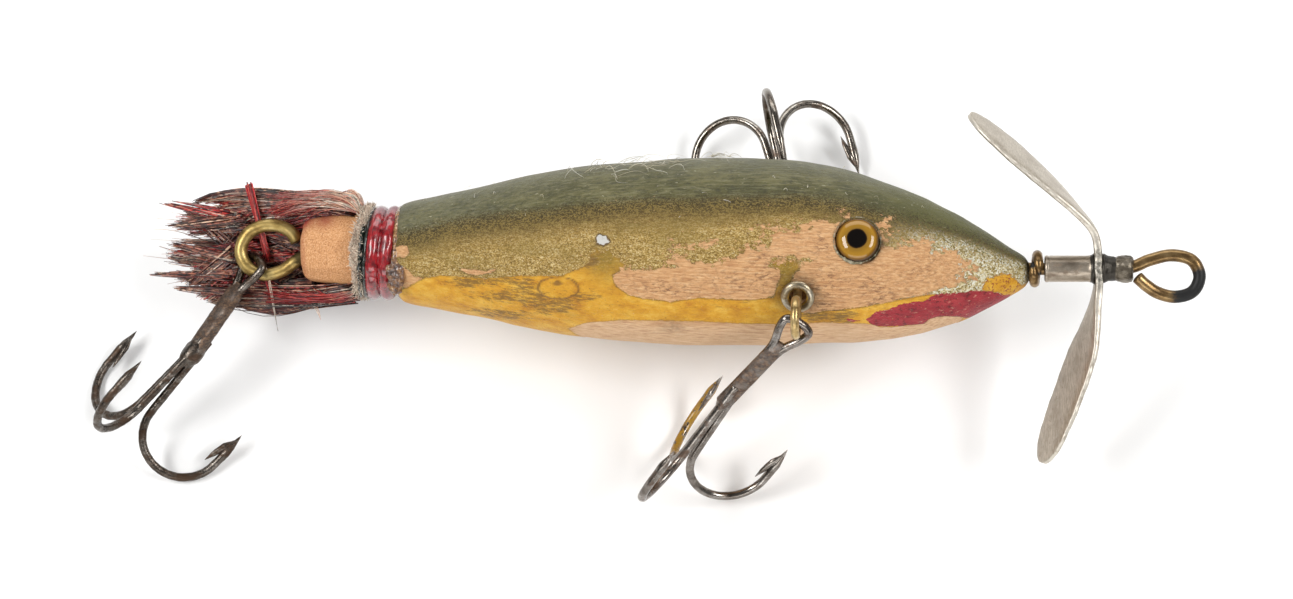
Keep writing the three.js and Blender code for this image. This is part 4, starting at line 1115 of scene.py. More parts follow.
def tail_hair(locks, each, pale_share, low, high):
    """Matted locks bound around the stub from the back over the far side to the belly. A lock is a
    cubic curve from the stub to its tip. Its hairs run beside it, closer together towards the tip,
    and each one stops at its own share of the way, where the curve is cut in two."""
    angle = np.radians(np.linspace(low, high, locks) + CHANCE.normal(0, 3.0, locks))
    height = np.clip(2.4 + 5.9 * np.sin(angle) + CHANCE.normal(0.0, 1.7, locks), -3.6, 8.4)
    reach = (25.0 - 0.14 * (height - 3.0) ** 2) * CHANCE.uniform(0.68, 1.0, locks)
    depth = np.clip(-3.0 + 3.4 * np.cos(angle) + CHANCE.normal(0.0, 1.0, locks), -6.4, HAIR_DEPTH)
    tip = np.stack([-83.6 - reach, height, depth], axis=1)
    out = spokes(angle)
    root = HAIR_ROOT + out * HAIR_ROOT_RADIUS
    first = root + np.array([-5.0, 0.0, 0.0]) + out * CHANCE.uniform(0.2, 1.5, (locks, 1))
    second = root + (tip - root) * 0.62 + out * CHANCE.uniform(0.0, 1.3, (locks, 1))
    second += CHANCE.normal(0.0, 1.0, (locks, 3)) * np.array([1.5, 1.7, 0.7])
    second[:, 2] = np.minimum(second[:, 2], HAIR_DEPTH - 0.2)
    path = np.stack([root, first, second, tip], axis=1)
    own = np.repeat(np.arange(locks), each)
    beside = CHANCE.normal(0.0, 1.0, (len(own), 1, 3)) * np.array([0.25, 0.33, 0.26])
    closeness = np.array([1.3, 1.0, 0.8, 0.62])[None, :, None] * CHANCE.uniform(0.6, 1.2, (locks, 1, 1))[own]
    path = path[own] + beside * closeness + CHANCE.normal(0.0, 0.1, (len(own), 4, 3))
    share = (1.0 - 0.42 * CHANCE.random((len(own), 1, 1)) ** 2.2)
    once = path[:, :-1] + (path[:, 1:] - path[:, :-1]) * share
    twice = once[:, :-1] + (once[:, 1:] - once[:, :-1]) * share
    end = twice[:, :1] + (twice[:, 1:] - twice[:, :1]) * share
    controls = np.concatenate([path[:, :1], once[:, :1], twice[:, :1], end], axis=1)
    return strands(controls, CHANCE.uniform(0.16, 0.36, len(own)), lock_tints(own, locks, pale_share))


def crossing_locks():
    """Short matted locks that lie over the tail's own at an angle. Each is a bundle of hairs around
    one line, closer together at its end, with its height above the floor lower beside the ring."""
    locks, each = 44, 30
    station = CHANCE.uniform(-104.0, -90.5, locks)
    lie = -1.95 + 0.8 * ease(-station, 98.5, 101.0) + CHANCE.uniform(-0.2, 0.1, locks)
    middle = np.stack([station, CHANCE.uniform(-2.8, 7.6, locks), lie], axis=1)
    heading = CHANCE.normal(-0.05, 0.34, locks)
    half = np.stack([-np.cos(heading), np.sin(heading), np.full(locks, -0.04)], axis=1)
    half *= 0.5 * CHANCE.uniform(3.5, 8.5, (locks, 1))
    own = np.repeat(np.arange(locks), each)
    beside = CHANCE.normal(0.0, 1.0, (len(own), 3)) * np.array([0.7, 0.3, 0.13])
    start = (middle - half)[own] + beside
    end = (middle + half)[own] + beside * np.array([1.0, 0.5, 0.6])
    return strands(bowed(start, end, 0.18), CHANCE.uniform(0.2, 0.42, len(own)), lock_tints(own, locks, 0.22))


def stray_hair():
    """Single hairs: the red tuft that crosses under the ring, hairs hanging below it, pale whisps
    past the tips, and frayed pale and red roots over the back and under the stub."""
    groups = []
    tuft = 30
    start = np.array([-96.2, 10.4, -0.5]) + CHANCE.normal(0.0, 0.2, (tuft, 3))
    end = np.array([-94.1, 1.3, -1.3]) + CHANCE.normal(0.0, 0.16, (tuft, 3))
    groups.append((bowed(start, end, 0.1), (HAIR_RED, HAIR_RED, HAIR_RED), 0.26))
    for top, bottom, palettes, count in (
        ((-93.9, 0.4, 0.3), (-92.6, -8.0, -1.0), (HAIR_PALE, HAIR_PALE, HAIR_DARK), 2),
        ((-94.4, 0.2, 0.0), (-93.6, -4.4, -1.2), (HAIR_RED, HAIR_RED, HAIR_DARK), 3),
        ((-88.6, -2.6, 0.4), (-87.2, -5.7, 0.2), (HAIR_RED, HAIR_PALE, HAIR_PALE), 4),
        ((-95.0, 8.0, -2.0), (-98.5, 9.6, -2.0), (HAIR_DARK, HAIR_DARK, HAIR_DARK), 5),
    ):
        start = np.array(top) + CHANCE.normal(0.0, 0.15, (count, 3))
        end = np.array(bottom) + CHANCE.normal(0.0, 0.25, (count, 3))
        groups.append((bowed(start, end, 0.25), palettes, 0.17))
    whisps = 46
    start = np.array([-95.0, 2.0, -2.6]) + CHANCE.normal(0.0, 1.0, (whisps, 3)) * np.array([2.5, 2.8, 0.4])
    back, rise = CHANCE.uniform(-13.0, -4.0, whisps), CHANCE.normal(0.9, 1.1, whisps)
    sweep = np.stack([back, rise, np.full(whisps, -0.2)], axis=1)
    groups.append((bowed(start, start + sweep, 0.4), (HAIR_DARK, HAIR_DARK, HAIR_PALE), 0.14))
    for low, high, lift, middle, count, palettes in (
        (64.0, 112.0, 2.5, -81.9, 420, (HAIR_PALE, HAIR_PALE, HAIR_RED)),
        (64.0, 112.0, 2.3, -82.0, 260, (HAIR_RED, HAIR_PALE, HAIR_RED)),
        (72.0, 112.0, 2.0, -82.2, 200, (HAIR_DARK, HAIR_DARK, HAIR_RED)),
        (252.0, 292.0, 1.4, -82.4, 420, (HAIR_PALE, HAIR_RED, HAIR_RED)),
    ):
        angle = np.radians(CHANCE.uniform(low, high, count))
        out = spokes(angle)
        back = np.array([-1.0, 0.0, -0.1]) * CHANCE.uniform(2.0, 12.0, (count, 1))
        start = np.array([middle, 2.2, 0.0]) + out * 5.1
        inner = [start + back * share + out * CHANCE.uniform(0.3, 1.3, (count, 1)) * lift for share in (0.25, 0.6)]
        end = start + back + out * CHANCE.uniform(-0.3, 1.0, (count, 1)) * lift
        groups.append((np.stack([start, *inner, end], axis=1), palettes, 0.23))
    shells = []
    for controls, palettes, width in groups:
        tints = [pick(colours, len(controls)) for colours in palettes]
        shells.append(strands(controls, width * CHANCE.uniform(0.8, 1.1, len(controls)), tints))
    return joined(shells)


def hide_fuzz():
    """Short pale and grey hairs that stand off the hide strip in all directions."""
    count = 1900
    angle = CHANCE.uniform(0.0, 2 * np.pi, count)
    out = spokes(angle) + np.outer(CHANCE.normal(0.0, 0.7, count), ALONG)
    start = HIDE_CENTRE + 5.3 * spokes(angle)
    start += np.outer(hide_lean(angle) + CHANCE.uniform(-0.45, 0.45, count), ALONG)
    end = start + unit(out + CHANCE.normal(0.0, 0.5, out.shape)) * CHANCE.uniform(0.4, 1.0, (count, 1))
    tints = [pick(HIDE_GREYS, count) for _ in range(3)]
    return strands(bowed(start, end, 0.07), np.full(count, 0.13), tints, rows=4)


def loose_fibres():
    """Pale threads of fluff lying on the back: each starts and ends just off the skin and bows
    away from it."""
    clump, scattered, edge = 46, 24, 16
    count = clump + scattered + edge
    normal, uniform = CHANCE.normal, CHANCE.uniform
    station = [normal(-48.5, 3.6, clump), uniform(-74.0, -6.0, scattered), normal(-38.5, 1.0, edge)]
    degrees = [normal(72.0, 9.0, clump), uniform(20.0, 88.0, scattered), normal(88.0, 4.0, edge)]
    heading = normal(0.0, 0.6, count)
    length = [uniform(1.0, 4.4, clump), uniform(0.3, 1.1, scattered), uniform(1.5, 3.8, edge)]
    station, degrees, length = (np.concatenate(rows) for rows in (station, degrees, length))
    half = wood_at(station)[1]
    turn = np.degrees(length * np.sin(heading) / half)
    rows = [
        on_body(station + length * np.cos(heading) * share, degrees + turn * share, uniform(0.06, lift, count))
        for share, lift in ((0.0, 0.25), (0.35, 0.9), (0.7, 0.9), (1.0, 0.6))
    ]
    controls = np.stack(rows, axis=1)
    controls[:, 1:3] += normal(0.0, 0.26, (count, 2, 3)) * length[:, None, None] * np.array([1.0, 0.8, 0.15])
    tints = [pick(FLUFF_PALE, count) for _ in range(3)]
    return strands(controls, uniform(0.05, 0.09, count), tints, rows=16)


# Screw eyes and rings

FLANK_LEAN = math.radians(40.0)
FLANK_AXIS = unit([-0.12, -math.sin(FLANK_LEAN), math.cos(FLANK_LEAN)])
FLANK_WIRE, FLANK_LOOP = 0.52, 2.15
NECKS = {1: 4.3, -1: 3.72}
# Where a flank loop starts on its circle and how far round it goes, in degrees
LOOP_START, LOOP_TURN = -62.0, 290.0
RING_RADIUS, RING_WIRE = 1.55, 0.5
TAIL_WIRE = 0.8
TAIL_RING = [
    [-86.8, 1.7], [-89.4, 1.5], [-92.2, -0.25], [-94.4, -0.6], [-96.4, 0.35], [-97.2, 2.3], [-96.3, 4.4],
    [-94.3, 5.4], [-92.2, 5.3], [-90.8, 4.5], [-90.2, 3.55],
]


def flat_path(rows):
    """Rows of station and height as points in the plane of back and belly."""
    rows = np.asarray(rows, float)
    return np.column_stack([rows, np.zeros(len(rows))])


def tail_screw_eye():
    """Open oval ring: wire of 1.6 mm along its middle line."""
    path = through(flat_path(TAIL_RING), 150)
    # Painted shade where the ring runs in to the stub and its shank; also darker along the bottom
    stain = 0.75 * ease(path[:, 0], -92.0, -89.0) + 0.35 * ease(-path[:, 1], -1.0, 1.0)
    return wire(at_rest(path), TAIL_WIRE, NEARWARD, 26, 0.25, stain=stain).roughened(0.015, 0.5, 20)


def flank_axis(side):
    """Direction of a screw eye out of its flank. The near one is set square to the wood."""
    return unit(FLANK_AXIS * [0.1 if side > 0 else 1.0, 1, side])


def loop_centre(side):
    """Middle of a flank loop, a neck's length out from its foot."""
    return FOOT * [1, 1, side] + flank_axis(side) * NECKS[side]


def flank_screw_eye(side):
    """Shank, neck and loop of one wire: the loop is most of a circle from the neck on."""
    axis = flank_axis(side)
    across = unit([0.0, -axis[2], axis[1]])
    foot = FOOT * [1, 1, side]
    neck = [foot + axis * reach for reach in (-3.0, -1.5, 0.0, (NECKS[side] - FLANK_LOOP) * 0.6)]
    turn = np.radians(LOOP_START + LOOP_TURN * np.arange(10) / 9)[:, None]
    loop = loop_centre(side) + FLANK_LOOP * (np.cos(turn) * across + np.sin(turn) * axis)
    path = through(np.vstack([neck, loop]), 120)
    stain = 0.4 * ease(np.linspace(0, 1, 120), 0.35, 0.1)
    return wire(at_rest(path), FLANK_WIRE, FORWARD, 20, 0.2, stain=stain)


def hanger_ring(side):
    """Ring of round wire laid on the skin around the screw eye's foot."""
    seat, normal = seat_on_skin(FOOT[0], FOOT[1], side)
    ring = ring_on(normal, 80)
    path = seat + normal * 0.6 + RING_RADIUS * ring
    around = circle(18)
    painted = 0.62 * ease(-np.cos(around), 0.35, 0.9) + 0.28 * ease(-np.sin(around), 0.0, 0.7)
    rings = cord_rings(path, ring, normal, RING_WIRE, 18)
    return skin(rings[::-1], None, {"painted": np.tile(painted, (80, 1))})


# Treble hooks

HOOK_WIRE = 0.52
HOOK_EYE = [[-0.05, -0.4], [0.0, 0.8], [0.5, 1.7], [1.8, 1.6], [3.9, 0.8], [5.4, 0.56]]
BEND_CENTRE, BEND_RADIUS = (8.5, 6.2), 5.15
POINT_END = (3.6, 11.4)


def treble(hung_on, offset, collar, loop_normal, heading, dive, bends, bar, lump, rough, painted=None):
    """A treble hook: an eye of doubled wire round its hanger, a soldered bar, a lump of solder and
    three bends. bar is the bar's half width and half thickness, lump its solder's radius."""
    eye = at_rest(hung_on) + offset
    collar = np.asarray(collar) + LYING
    shank = unit(collar - eye)
    length = np.linalg.norm(collar - eye)
    across = unit(loop_normal - np.dot(loop_normal, shank) * shank)
    face = np.cross(shank, across)
    shells = []
    for side in (1, -1):
        rows = np.array(HOOK_EYE + [[length, 0.56]])
        rows[:, 1] *= side
        path = through(eye + rows[:, :1] * shank + rows[:, 1:] * across, 70)
        shells.append(wire(path, HOOK_WIRE, face, 18, painted=np.zeros(70)))
    shells.append(solder_bar(eye, shank, across, length, bar))
    turn, pitch = math.radians(heading), math.radians(dive)
    forward = np.array([math.cos(turn) * math.cos(pitch), math.sin(turn) * math.cos(pitch), -math.sin(pitch)])
    left = np.array([-math.sin(turn), math.cos(turn), 0.0])
    top = np.cross(forward, left)
    for number, degrees in enumerate(bends):
        away = left * math.cos(math.radians(degrees)) + top * math.sin(math.radians(degrees))
        shells.extend(bend(collar, forward, away, painted == number))
    shells.append(solder_lump(collar, unit(shank + forward), across, lump))
    return joined(shells).roughened(rough, 0.45, 21).roughened(rough * 0.6, 0.18, 22)


def solder_bar(eye, shank, across, length, size):
    """Flat bar over the doubled wire: rounded rectangle sections, |x|^3 + |y|^3 = 1, scaled."""
    steps, sides = 60, 28
    reach = np.linspace(3.7, length + 0.6, steps)
    wide, thick = size
    swell = ease(reach, 3.6, 5.2)
    angle = circle(sides)
    cosine, sine = np.cos(angle), np.sin(angle)
    square = (np.abs(cosine) ** 3 + np.abs(sine) ** 3) ** (-1 / 3)
    face = np.cross(shank, across)
    section = (wide * square * cosine)[:, None] * across + (thick * square * sine)[:, None] * face
    rings = eye + reach[:, None, None] * shank + (0.55 + 0.45 * swell)[:, None, None] * section
    tips = eye + np.outer(reach[[0, -1]], shank)
    return skin(rings, tips, {"painted": np.full(steps * sides, -1.0)})


def solder_lump(middle, axis, across, radius):
    """A long drop of solder: radius times the square root of sine, from end to end."""
    share = np.linspace(0.02, 0.98, 26)
    rows = np.stack([-2.4 + 4.6 * share, radius * np.sin(np.pi * share) ** 0.5], axis=1)
    shell = turned(rows, middle, axis, across, 26)
    shell.values = {"painted": np.zeros(len(shell.points))}
    return shell.roughened(0.12, 0.9, 23)


def bend(collar, forward, away, painted):
    """One bend: the shank's wire out to a half circle, then a tapered point with its barb."""
    turn = np.radians(np.linspace(-90.0, 90.0, 15))
    reach = np.concatenate([[-2.4, 1.0, 4.0], BEND_CENTRE[0] + BEND_RADIUS * np.cos(turn), [6.8, 5.2, POINT_END[0]]])
    off = np.concatenate([[0.5, 0.62, 0.78], BEND_CENTRE[1] + BEND_RADIUS * np.sin(turn), [11.4, 11.42, POINT_END[1]]])
    path = through(collar + np.outer(reach, forward) + np.outer(off, away), 150)
    plane = np.cross(forward, away)
    share = np.linspace(0.0, 1.0, 150)
    walked = share * np.linalg.norm(np.diff(path, axis=0), axis=1).sum()
    left_over = walked[-1] - walked
    radius = HOOK_WIRE * np.interp(left_over, [0.0, 0.3, 1.4, 2.5, 3.1, 4.2], [0.02, 0.17, 0.62, 1.05, 1.08, 1.0])
    coat = 0.62 * painted * ease(share, 0.5, 0.58) * ease(share, 0.985, 0.93)
    body = wire(path, radius, plane, 18, 0.3, painted=coat)
    root = collar + forward * (POINT_END[0] + 1.2) + away * (POINT_END[1] - 0.1)
    tip = collar + forward * (POINT_END[0] + 5.4) + away * (POINT_END[1] - 1.35)
    share = np.linspace(0.0, 1.0, 24)
    line = root + np.outer(share, tip - root) + np.outer(-0.1 * np.sin(np.pi * share), away)
    size = np.interp(share, [0.0, 0.3, 0.7, 1.0], [0.2, 0.5, 0.34, 0.04])
    barb = wire(line, size, away, 12, 0.3, flat=0.7, painted=np.zeros(24))
    return [body, barb]


# Nose

LINE_WIRE = 0.77
LINE_LOOP = [
    [-3.0, 0.0, 0], [0.0, 0.0, 0], [9.1, 0.0, 0], [12.6, 0.25, 0], [14.4, 1.0, 0], [17.3, 1.62, 0], [19.7, 0.95, 0],
    [20.55, -0.9, 0], [19.8, -2.7, 0], [17.8, -3.4, 0.1], [15.6, -2.95, 0.3], [14.1, -2.0, 0.6], [13.1, -1.1, 0.85],
]
BLADES = {
    "upper": (-17.0, 0.75, [[8.3, 0], [8.35, 1.7], [7.9, 4.3], [5.7, 7.1], [2.9, 9.9], [-1.15, 13.6], [-7.2, 18.9]]),
    "lower": (25.0, 0.5, [[8.3, 0], [8.4, -1.7], [7.9, -4.9], [7.1, -8.3], [5.6, -12.9], [3.9, -17.5], [1.6, -23.6]]),
}
BLADE_THICKNESS, BLADE_CHORD = 0.85, 7.5
TUBE_RADIUS = 1.6
COIL_RADIUS, COIL_WIRE = 1.68, 0.6


def line_wire():
    """Shaft and line loop in one wire. The loop is burnt black on its lower half."""
    path = through(LINE_LOOP, 220)
    burnt = 0.7 * ease(path[:, 0], 15.4, 18.6) * ease(-path[:, 1], -0.2, 1.6) + 0.45 * ease(path[:, 0], 19.8, 20.4)
    return wire(at_rest(path), LINE_WIRE, NEARWARD, 26, 0.3, stain=np.clip(burnt, 0, 1)).roughened(0.012, 0.6, 30)


def nose_coil():
    """One turn of wire round the shaft whose thinned ends lap beside each other on the near side:
    a circle whose station climbs with the turn."""
    turn = np.linspace(math.radians(-22.0), math.radians(382.0), 150)
    path = COIL_RADIUS * spokes(turn) + np.outer(np.linspace(1.22, 0.45, 150), ALONG)
    end = np.minimum(np.linspace(0, 1, 150), np.linspace(1, 0, 150))
    radius = COIL_WIRE * (0.45 + 0.55 * ease(end, 0.0, 0.13))
    return wire(at_rest(path), radius, FORWARD, 20, 0.3, stain=0.6 * ease(end, 0.1, 0.0)).roughened(0.015, 0.4, 31)


def propeller_tube():
    """Rolled tube round the wire, its ends a little turned in, with a bore."""
    rows = [
        [1.95, 0.95], [1.85, 1.25], [1.9, 1.5], [2.05, 1.64], [2.3, 1.62], [2.42, 1.56], [2.55, TUBE_RADIUS],
        [7.2, 1.62], [7.6, 1.72], [7.9, 1.95], [8.0, 1.6], [8.0, 0.95],
    ]
    middle = np.column_stack([np.linspace(2.8, 7.0, 22), np.full(22, TUBE_RADIUS)])
    rows = np.concatenate([rows[:7], middle, rows[7:]])
    stain = 0.8 * ease(rows[:, 0], 7.0, 7.7)
    shell = turned(rows, NOSE, FORWARD, NEARWARD, 64, tips=False, stain=stain)
    return shell.roughened(0.012, 0.7, 32)


def solder_collar():
    """Collar of tinned sheet with a rough fillet of solder towards the propeller and the loop."""
    rows = np.array([
        [8.85, 0.9], [8.8, 1.75], [9.1, 1.8], [9.5, 1.55], [10.0, 1.42], [10.5, 1.45], [10.75, 1.62], [11.3, 1.66],
        [12.0, 1.66], [12.3, 1.58], [12.5, 1.4], [12.62, 1.1], [12.55, 0.9],
    ])
    station = np.linspace(0, 12, 60)
    fine = np.stack([np.interp(station, np.arange(13), rows[:, k]) for k in (0, 1)], axis=1)
    stain = 0.75 * ease(fine[:, 0], 10.9, 10.2)
    shell = turned(fine, NOSE, FORWARD, NEARWARD, 72, tips=False, stain=stain)
    return shell.roughened(0.1, 0.8, 33).roughened(0.035, 0.25, 34)


def blade_rings(twist, turned_by, line, steps=120):
    """Sections of a blade from hub to tip. The chord follows rows of widths that rise from the hub
    and fall to a rounded tip, and turns by the twist over the first part of the way."""
    path = through(flat_path(line), steps)
    along = np.linspace(0.0, 1.0, steps)
    tangent = unit(np.gradient(path, axis=0))
    if line[-1][1] < 0:
        tangent = -tangent
    face = np.stack([tangent[:, 1], -tangent[:, 0], np.zeros(steps)], axis=1)
    marks = np.array([0.0, 0.12, 0.3, 0.45, 0.68, 0.82, 0.91, 0.96, 0.985, 1.0])
    shares = np.array([0.5, 0.52, 0.83, 0.99, 1.0, 0.92, 0.75, 0.54, 0.36, 0.14])
    half = BLADE_CHORD / 2 * smooth_rows(marks, shares, along)
    turn = np.radians(twist) * ease(along, -0.04, turned_by)
    chord = np.cos(turn)[:, None] * np.array([0.0, 0.0, 1.0]) + np.sin(turn)[:, None] * face
    normal = unit(np.cross(chord, tangent))
    section = np.array([
        [-1, 0], [-0.985, 0.6], [-0.95, 0.85], [-0.5, 0.97], [0, 1], [0.5, 0.97], [0.95, 0.85], [0.985, 0.6],
        [1, 0], [0.985, -0.6], [0.95, -0.85], [0.5, -0.97], [0, -1], [-0.5, -0.97], [-0.95, -0.85], [-0.985, -0.6],
    ])
    thick = BLADE_THICKNESS / 2 * np.interp(along, [0.0, 0.3, 1.0], [1.3, 1.05, 0.7])
    ragged = 1.0 + 0.012 * np.sin(along * 37.0) + 0.008 * np.sin(along * 91.0)
    wide = (half * ragged)[:, None, None] * section[None, :, :1] * chord[:, None, :]
    deep = thick[:, None, None] * section[None, :, 1:] * normal[:, None, :]
    return path[:, None, :] + wide + deep


def propeller_blade():
    """Both blades as one strip: the lower one's sections from its tip in, then the upper one's."""
    upper = blade_rings(*BLADES["upper"])
    lower = blade_rings(*BLADES["lower"])
    rings = np.concatenate([lower[:0:-1], upper])
    hub = ease(np.abs(rings[..., 1].mean(axis=1)), 3.2, 1.6)
    tips = at_rest(np.stack([rings[0].mean(axis=0), rings[-1].mean(axis=0)]))
    edge = np.zeros(rings.shape[:2])
    edge[:, [0, 1, 7, 8, 9, 15]] = 1.0
    shell = skin(at_rest(rings), tips, {"hub": np.repeat(hub, rings.shape[1]), "edge": edge})
    return shell.roughened(0.03, 2.4, 35)


# Everything in its place

# Each finish's maker, its colours as they look in the tent, and its numbers in the maker's order
finishes = {}
for name, maker, colours, numbers in (
    ("old_brass", brass_wire, ((214, 188, 122), (190, 162, 96), (146, 118, 64), (92, 78, 44)), (0.36,)),
    ("dark_brass", brass_wire, ((178, 148, 102), (146, 116, 74), (98, 74, 46), (52, 52, 52)), (0.26,)),
    ("screw_brass", brass_wire, ((238, 212, 156), (204, 174, 116), (142, 112, 66), (196, 148, 56)), (0.28,)),
    ("near_hook_steel", hook_steel, ((184, 178, 172), (146, 138, 130), (98, 88, 80), (118, 84, 62)),
     (0.35, 0.16, 0.014)),
    ("far_hook_steel", hook_steel, ((188, 182, 172), (152, 144, 134), (110, 102, 94), (120, 88, 68)),
     (0.35, 0.15, 0.008)),
    ("tail_hook_steel", hook_steel, ((150, 142, 134), (108, 100, 92), (66, 58, 52), (104, 74, 52)),
     (0.5, 0.2, 0.04)),
    ("ring_steel", hook_steel, ((220, 212, 194), (190, 178, 154), (146, 130, 102), (168, 130, 66)),
     (0.4, 0.28, 0.008)),
    ("tube_steel", old_metal, ((222, 208, 190), (198, 184, 166), (156, 142, 126), (140, 118, 98)),
     (0.4, 0.3, 0.006)),
    ("solder", old_metal, ((184, 174, 158), (146, 136, 120), (92, 84, 72), (84, 74, 62)), (0.45, 0.3, 0.05)),
    # Each thread's third colour is its painted sheen where the light grazes it
    ("red_thread", varnished_thread, ((104, 4, 16), (190, 22, 34), (132, 92, 100)), ()),
    ("black_thread", varnished_thread, ((10, 14, 12), (34, 48, 38), (70, 70, 60)), ()),
):
    finishes[name] = maker(name, *(seen(*colour) for colour in colours), *numbers)
hide = rough_matter("hide", [
    (0.34, seen(168, 138, 118)), (0.5, seen(230, 202, 178)), (0.64, seen(255, 244, 224)),
], 0.28, 0.15, 0.85)
# The glue's palest stop is painted glints on the glossy lump
glue = rough_matter("clotted_glue", [
    (0.38, seen(52, 30, 20)), (0.5, seen(112, 72, 44)), (0.6, seen(168, 120, 70)), (0.68, seen(240, 206, 150)),
], 0.7, 0.2, 0.3, Coat_Weight=0.8, Coat_Roughness=0.1)
# The bead's palest stop is painted glints on the glossy varnish
varnish_bead = rough_matter("varnish_bead", [
    (0.36, seen(40, 26, 18)), (0.48, seen(132, 88, 50)), (0.58, seen(190, 140, 84)), (0.68, seen(240, 214, 176)),
], 0.5, 0.15, 0.15, Coat_Weight=0.9, Coat_Roughness=0.06)
putty = rough_matter("eye_putty", [
    (0.3, seen(70, 66, 46)), (0.46, seen(140, 130, 100)), (0.62, seen(196, 188, 164)),
], 0.5, 0.12, 0.7)
hair = dyed_hair("dyed_hair")
fluff = dyed_hair("fluff", 0.7, 0.08)
frayed_hair = dyed_hair("frayed_hair", 0.35, 0.4)

add_piece("painted_body", painted_body(), worn_paint(), ["wood_body"])
add_piece("whittled_stub", whittled_stub(), stub_wood())
eye_finish = eye_glass()
for label, side in (("near", 1), ("far", -1)):
    add_piece(f"eye_{label}", glass_eye(side), eye_finish, [f"glass_eye_{label}"])
    add_piece(f"eye_putty_{label}", eye_putty(side), putty)
    add_piece(
        f"screw_eye_{label}", flank_screw_eye(side), finishes["screw_brass"], [f"flank_screw_eye_{label}"])
    add_piece(f"ring_{label}", hanger_ring(side), finishes["ring_steel"], [f"hanger_ring_{label}"])
for label, span, radius in (("red", RED_BINDING, 5.85), ("black", BLACK_BINDING, 5.7)):
    thread = f"{label}_thread"
    add_piece(f"{label}_winding", wound_thread(span, radius), finishes[thread], [f"{thread}_binding"])
add_piece("hide_band", hide_strip(), hide, ["hide_strip"])
add_piece("hide_fuzz", hide_fuzz(), fluff)
add_piece("glue_lump", glue_lump(), glue)
add_piece("varnish_bead", glue_bead(), varnish_bead)
add_piece("tail_hair_far", tail_hair(60, 52, 0.18, 74.0, 286.0), hair, ["hair_tail"])
add_piece("tail_hair_edges", tail_hair(40, 32, 0.3, 84.0, 272.0), hair)
add_piece("stray_hair", stray_hair(), frayed_hair)
add_piece("loose_fibres", loose_fibres(), fluff)
add_piece("crossing_locks", crossing_locks(), hair)
add_piece("tail_ring", tail_screw_eye(), finishes["old_brass"], ["tail_screw_eye"])
add_piece("line_tie", line_wire(), finishes["dark_brass"], ["line_wire"])
add_piece("coil", nose_coil(), finishes["dark_brass"], ["nose_coil"])
add_piece("collar", solder_collar(), finishes["solder"], ["solder_collar"])
add_piece("propeller_tube", propeller_tube(), finishes["tube_steel"], ["propeller_sleeve"], "spinner")
add_piece("propeller_strip", propeller_blade(), blade_metal(), ["propeller_blade"], "spinner")

# The tail treble's eye is turned half towards the viewer
TAIL_EYE_ACROSS = NEARWARD * 0.68 + FORWARD * 0.53 - SPINEWARD * 0.5
add_piece("near_treble", treble(
    FOOT + FLANK_AXIS * NECKS[1], np.array([0.95, -0.45, -0.8]), (-8.5, -17.0, 15.7), FORWARD, -136.5, 43.6,
    (310, 78, 241), (1.02, 0.6), 0.95, 0.012, painted=2), finishes["near_hook_steel"], ["treble_near"])
add_piece("far_treble", treble(
    loop_centre(-1), np.array([0.45, 0.65, -0.25]), (-1.65, 13.2, 5.0), FORWARD, 104.0, -9.8, (331, 89, 205),
    (1.02, 0.6), 0.95, 0.012), finishes["far_hook_steel"], ["treble_far"])
add_piece("tail_treble", treble(
    np.array([-94.8, 1.5, 0.0]), np.array([-0.27, -0.22, -0.18]), (-74.9, -9.8, 8.55), TAIL_EYE_ACROSS, -133.6, 17.1,
    (332, 89, 210), (1.3, 0.75), 1.3, 0.03), finishes["tail_hook_steel"], ["treble_tail"])

# Floor, light and camera

PIVOT = (LYING + np.array([0.0, 0.0, 16.6])) * MM
CAMERA_RIGHT = np.array([0.99902, 0.03577, -0.02618])
CAMERA_UP = np.array([-0.02288, 0.92196, 0.3866])
CAMERA_BACK = np.array([0.03797, -0.38563, 0.92187])


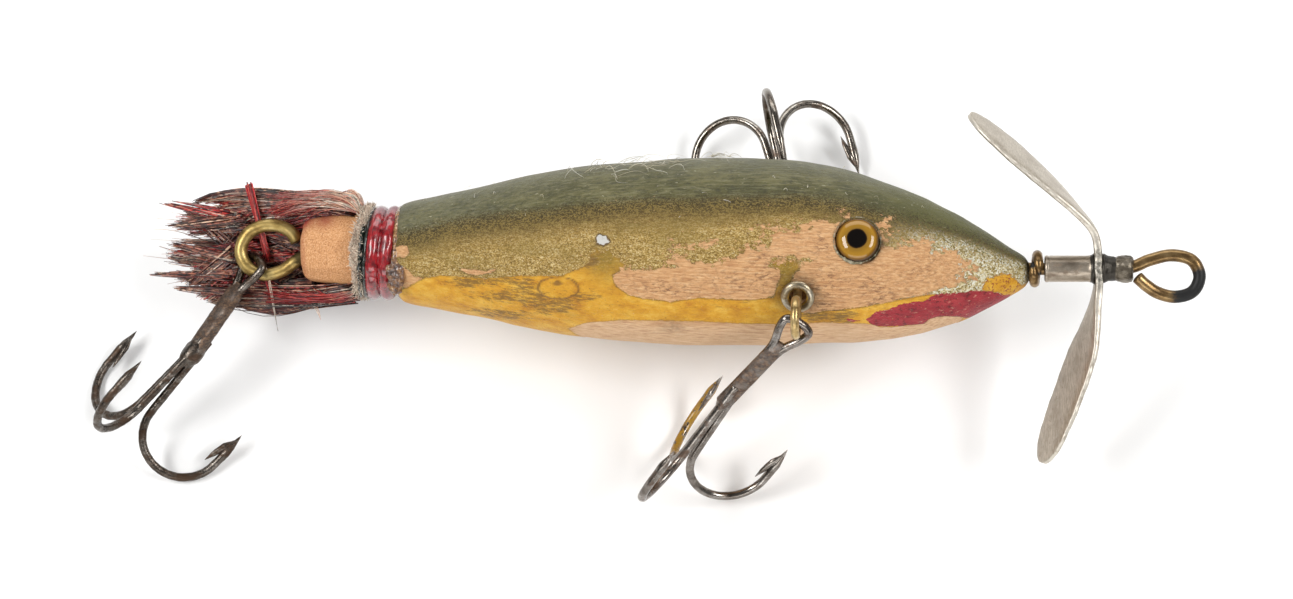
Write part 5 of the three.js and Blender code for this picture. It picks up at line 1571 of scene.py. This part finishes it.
def aimed(name, data, place, right, up, back):
    """An object at a place, turned so that its own axes point right, up and back."""
    made = bpy.data.objects.new(name, data)
    turn = np.eye(4)
    turn[:3, :3] = np.stack([right, up, back], axis=1)
    turn[:3, 3] = place
    made.matrix_world = Matrix(turn)
    bpy.context.scene.collection.objects.link(made)
    return made


camera = bpy.data.cameras.new("camera")
camera.sensor_width = 36.0
camera.lens = 109.3
camera.clip_start = 0.01
shift_right, shift_up, distance = -18.74, -3.73, 480.0
place = PIVOT + (CAMERA_RIGHT * shift_right + CAMERA_UP * shift_up + CAMERA_BACK * distance) * MM
bpy.context.scene.camera = aimed("camera", camera, place, CAMERA_RIGHT, CAMERA_UP, CAMERA_BACK)


def soft_light(name, place, size, power):
    """A soft box of a width and a height that faces the middle of the floor."""
    back = unit(place)
    right = unit(np.cross([0.0, 0.0, 1.0], back))
    light = bpy.data.lights.new(name, "AREA")
    light.shape = "RECTANGLE"
    light.size, light.size_y = size
    light.energy = power
    aimed(name, light, place, right, np.cross(back, right), back)


LIGHT_REACH = 0.85
for label, sideways, energy in (("left", -0.66, 5.0), ("right", 0.66, 4.3)):
    towards = unit(CAMERA_RIGHT * sideways + CAMERA_UP * 0.2 + CAMERA_BACK * 0.75)
    soft_light(f"light_{label}", towards * LIGHT_REACH, (0.5, 0.2), energy)
soft_light("light_behind", np.array([0.0, 0.62, 0.42]), (1.0, 0.35), 3.4)
soft_light("light_front", np.array([0.0, -0.75, 0.3]), (1.0, 0.3), 3.0)

world = bpy.data.worlds.new("tent")
world.use_nodes = True
world.node_tree.nodes["Background"].inputs["Color"].default_value = (1.0, 1.0, 1.0, 1.0)
world.node_tree.nodes["Background"].inputs["Strength"].default_value = 0.18
bpy.context.scene.world = world
bpy.context.scene.view_settings.view_transform = "Standard"

floor_finish = Finish("paper", Base_Color=(0.88, 0.88, 0.875, 1.0), Roughness=0.9, Specular_IOR_Level=0.1)
floor_mesh = bpy.data.meshes.new("floor")
reach = 2.0
corners = [(-reach, -reach, 0), (reach, -reach, 0), (reach, reach, 0), (-reach, reach, 0)]
floor_mesh.from_pydata(corners, [], [(0, 1, 2, 3)])
floor_mesh.materials.append(floor_finish.material)
floor = bpy.data.objects.new("floor", floor_mesh)
bpy.context.scene.collection.objects.link(floor)
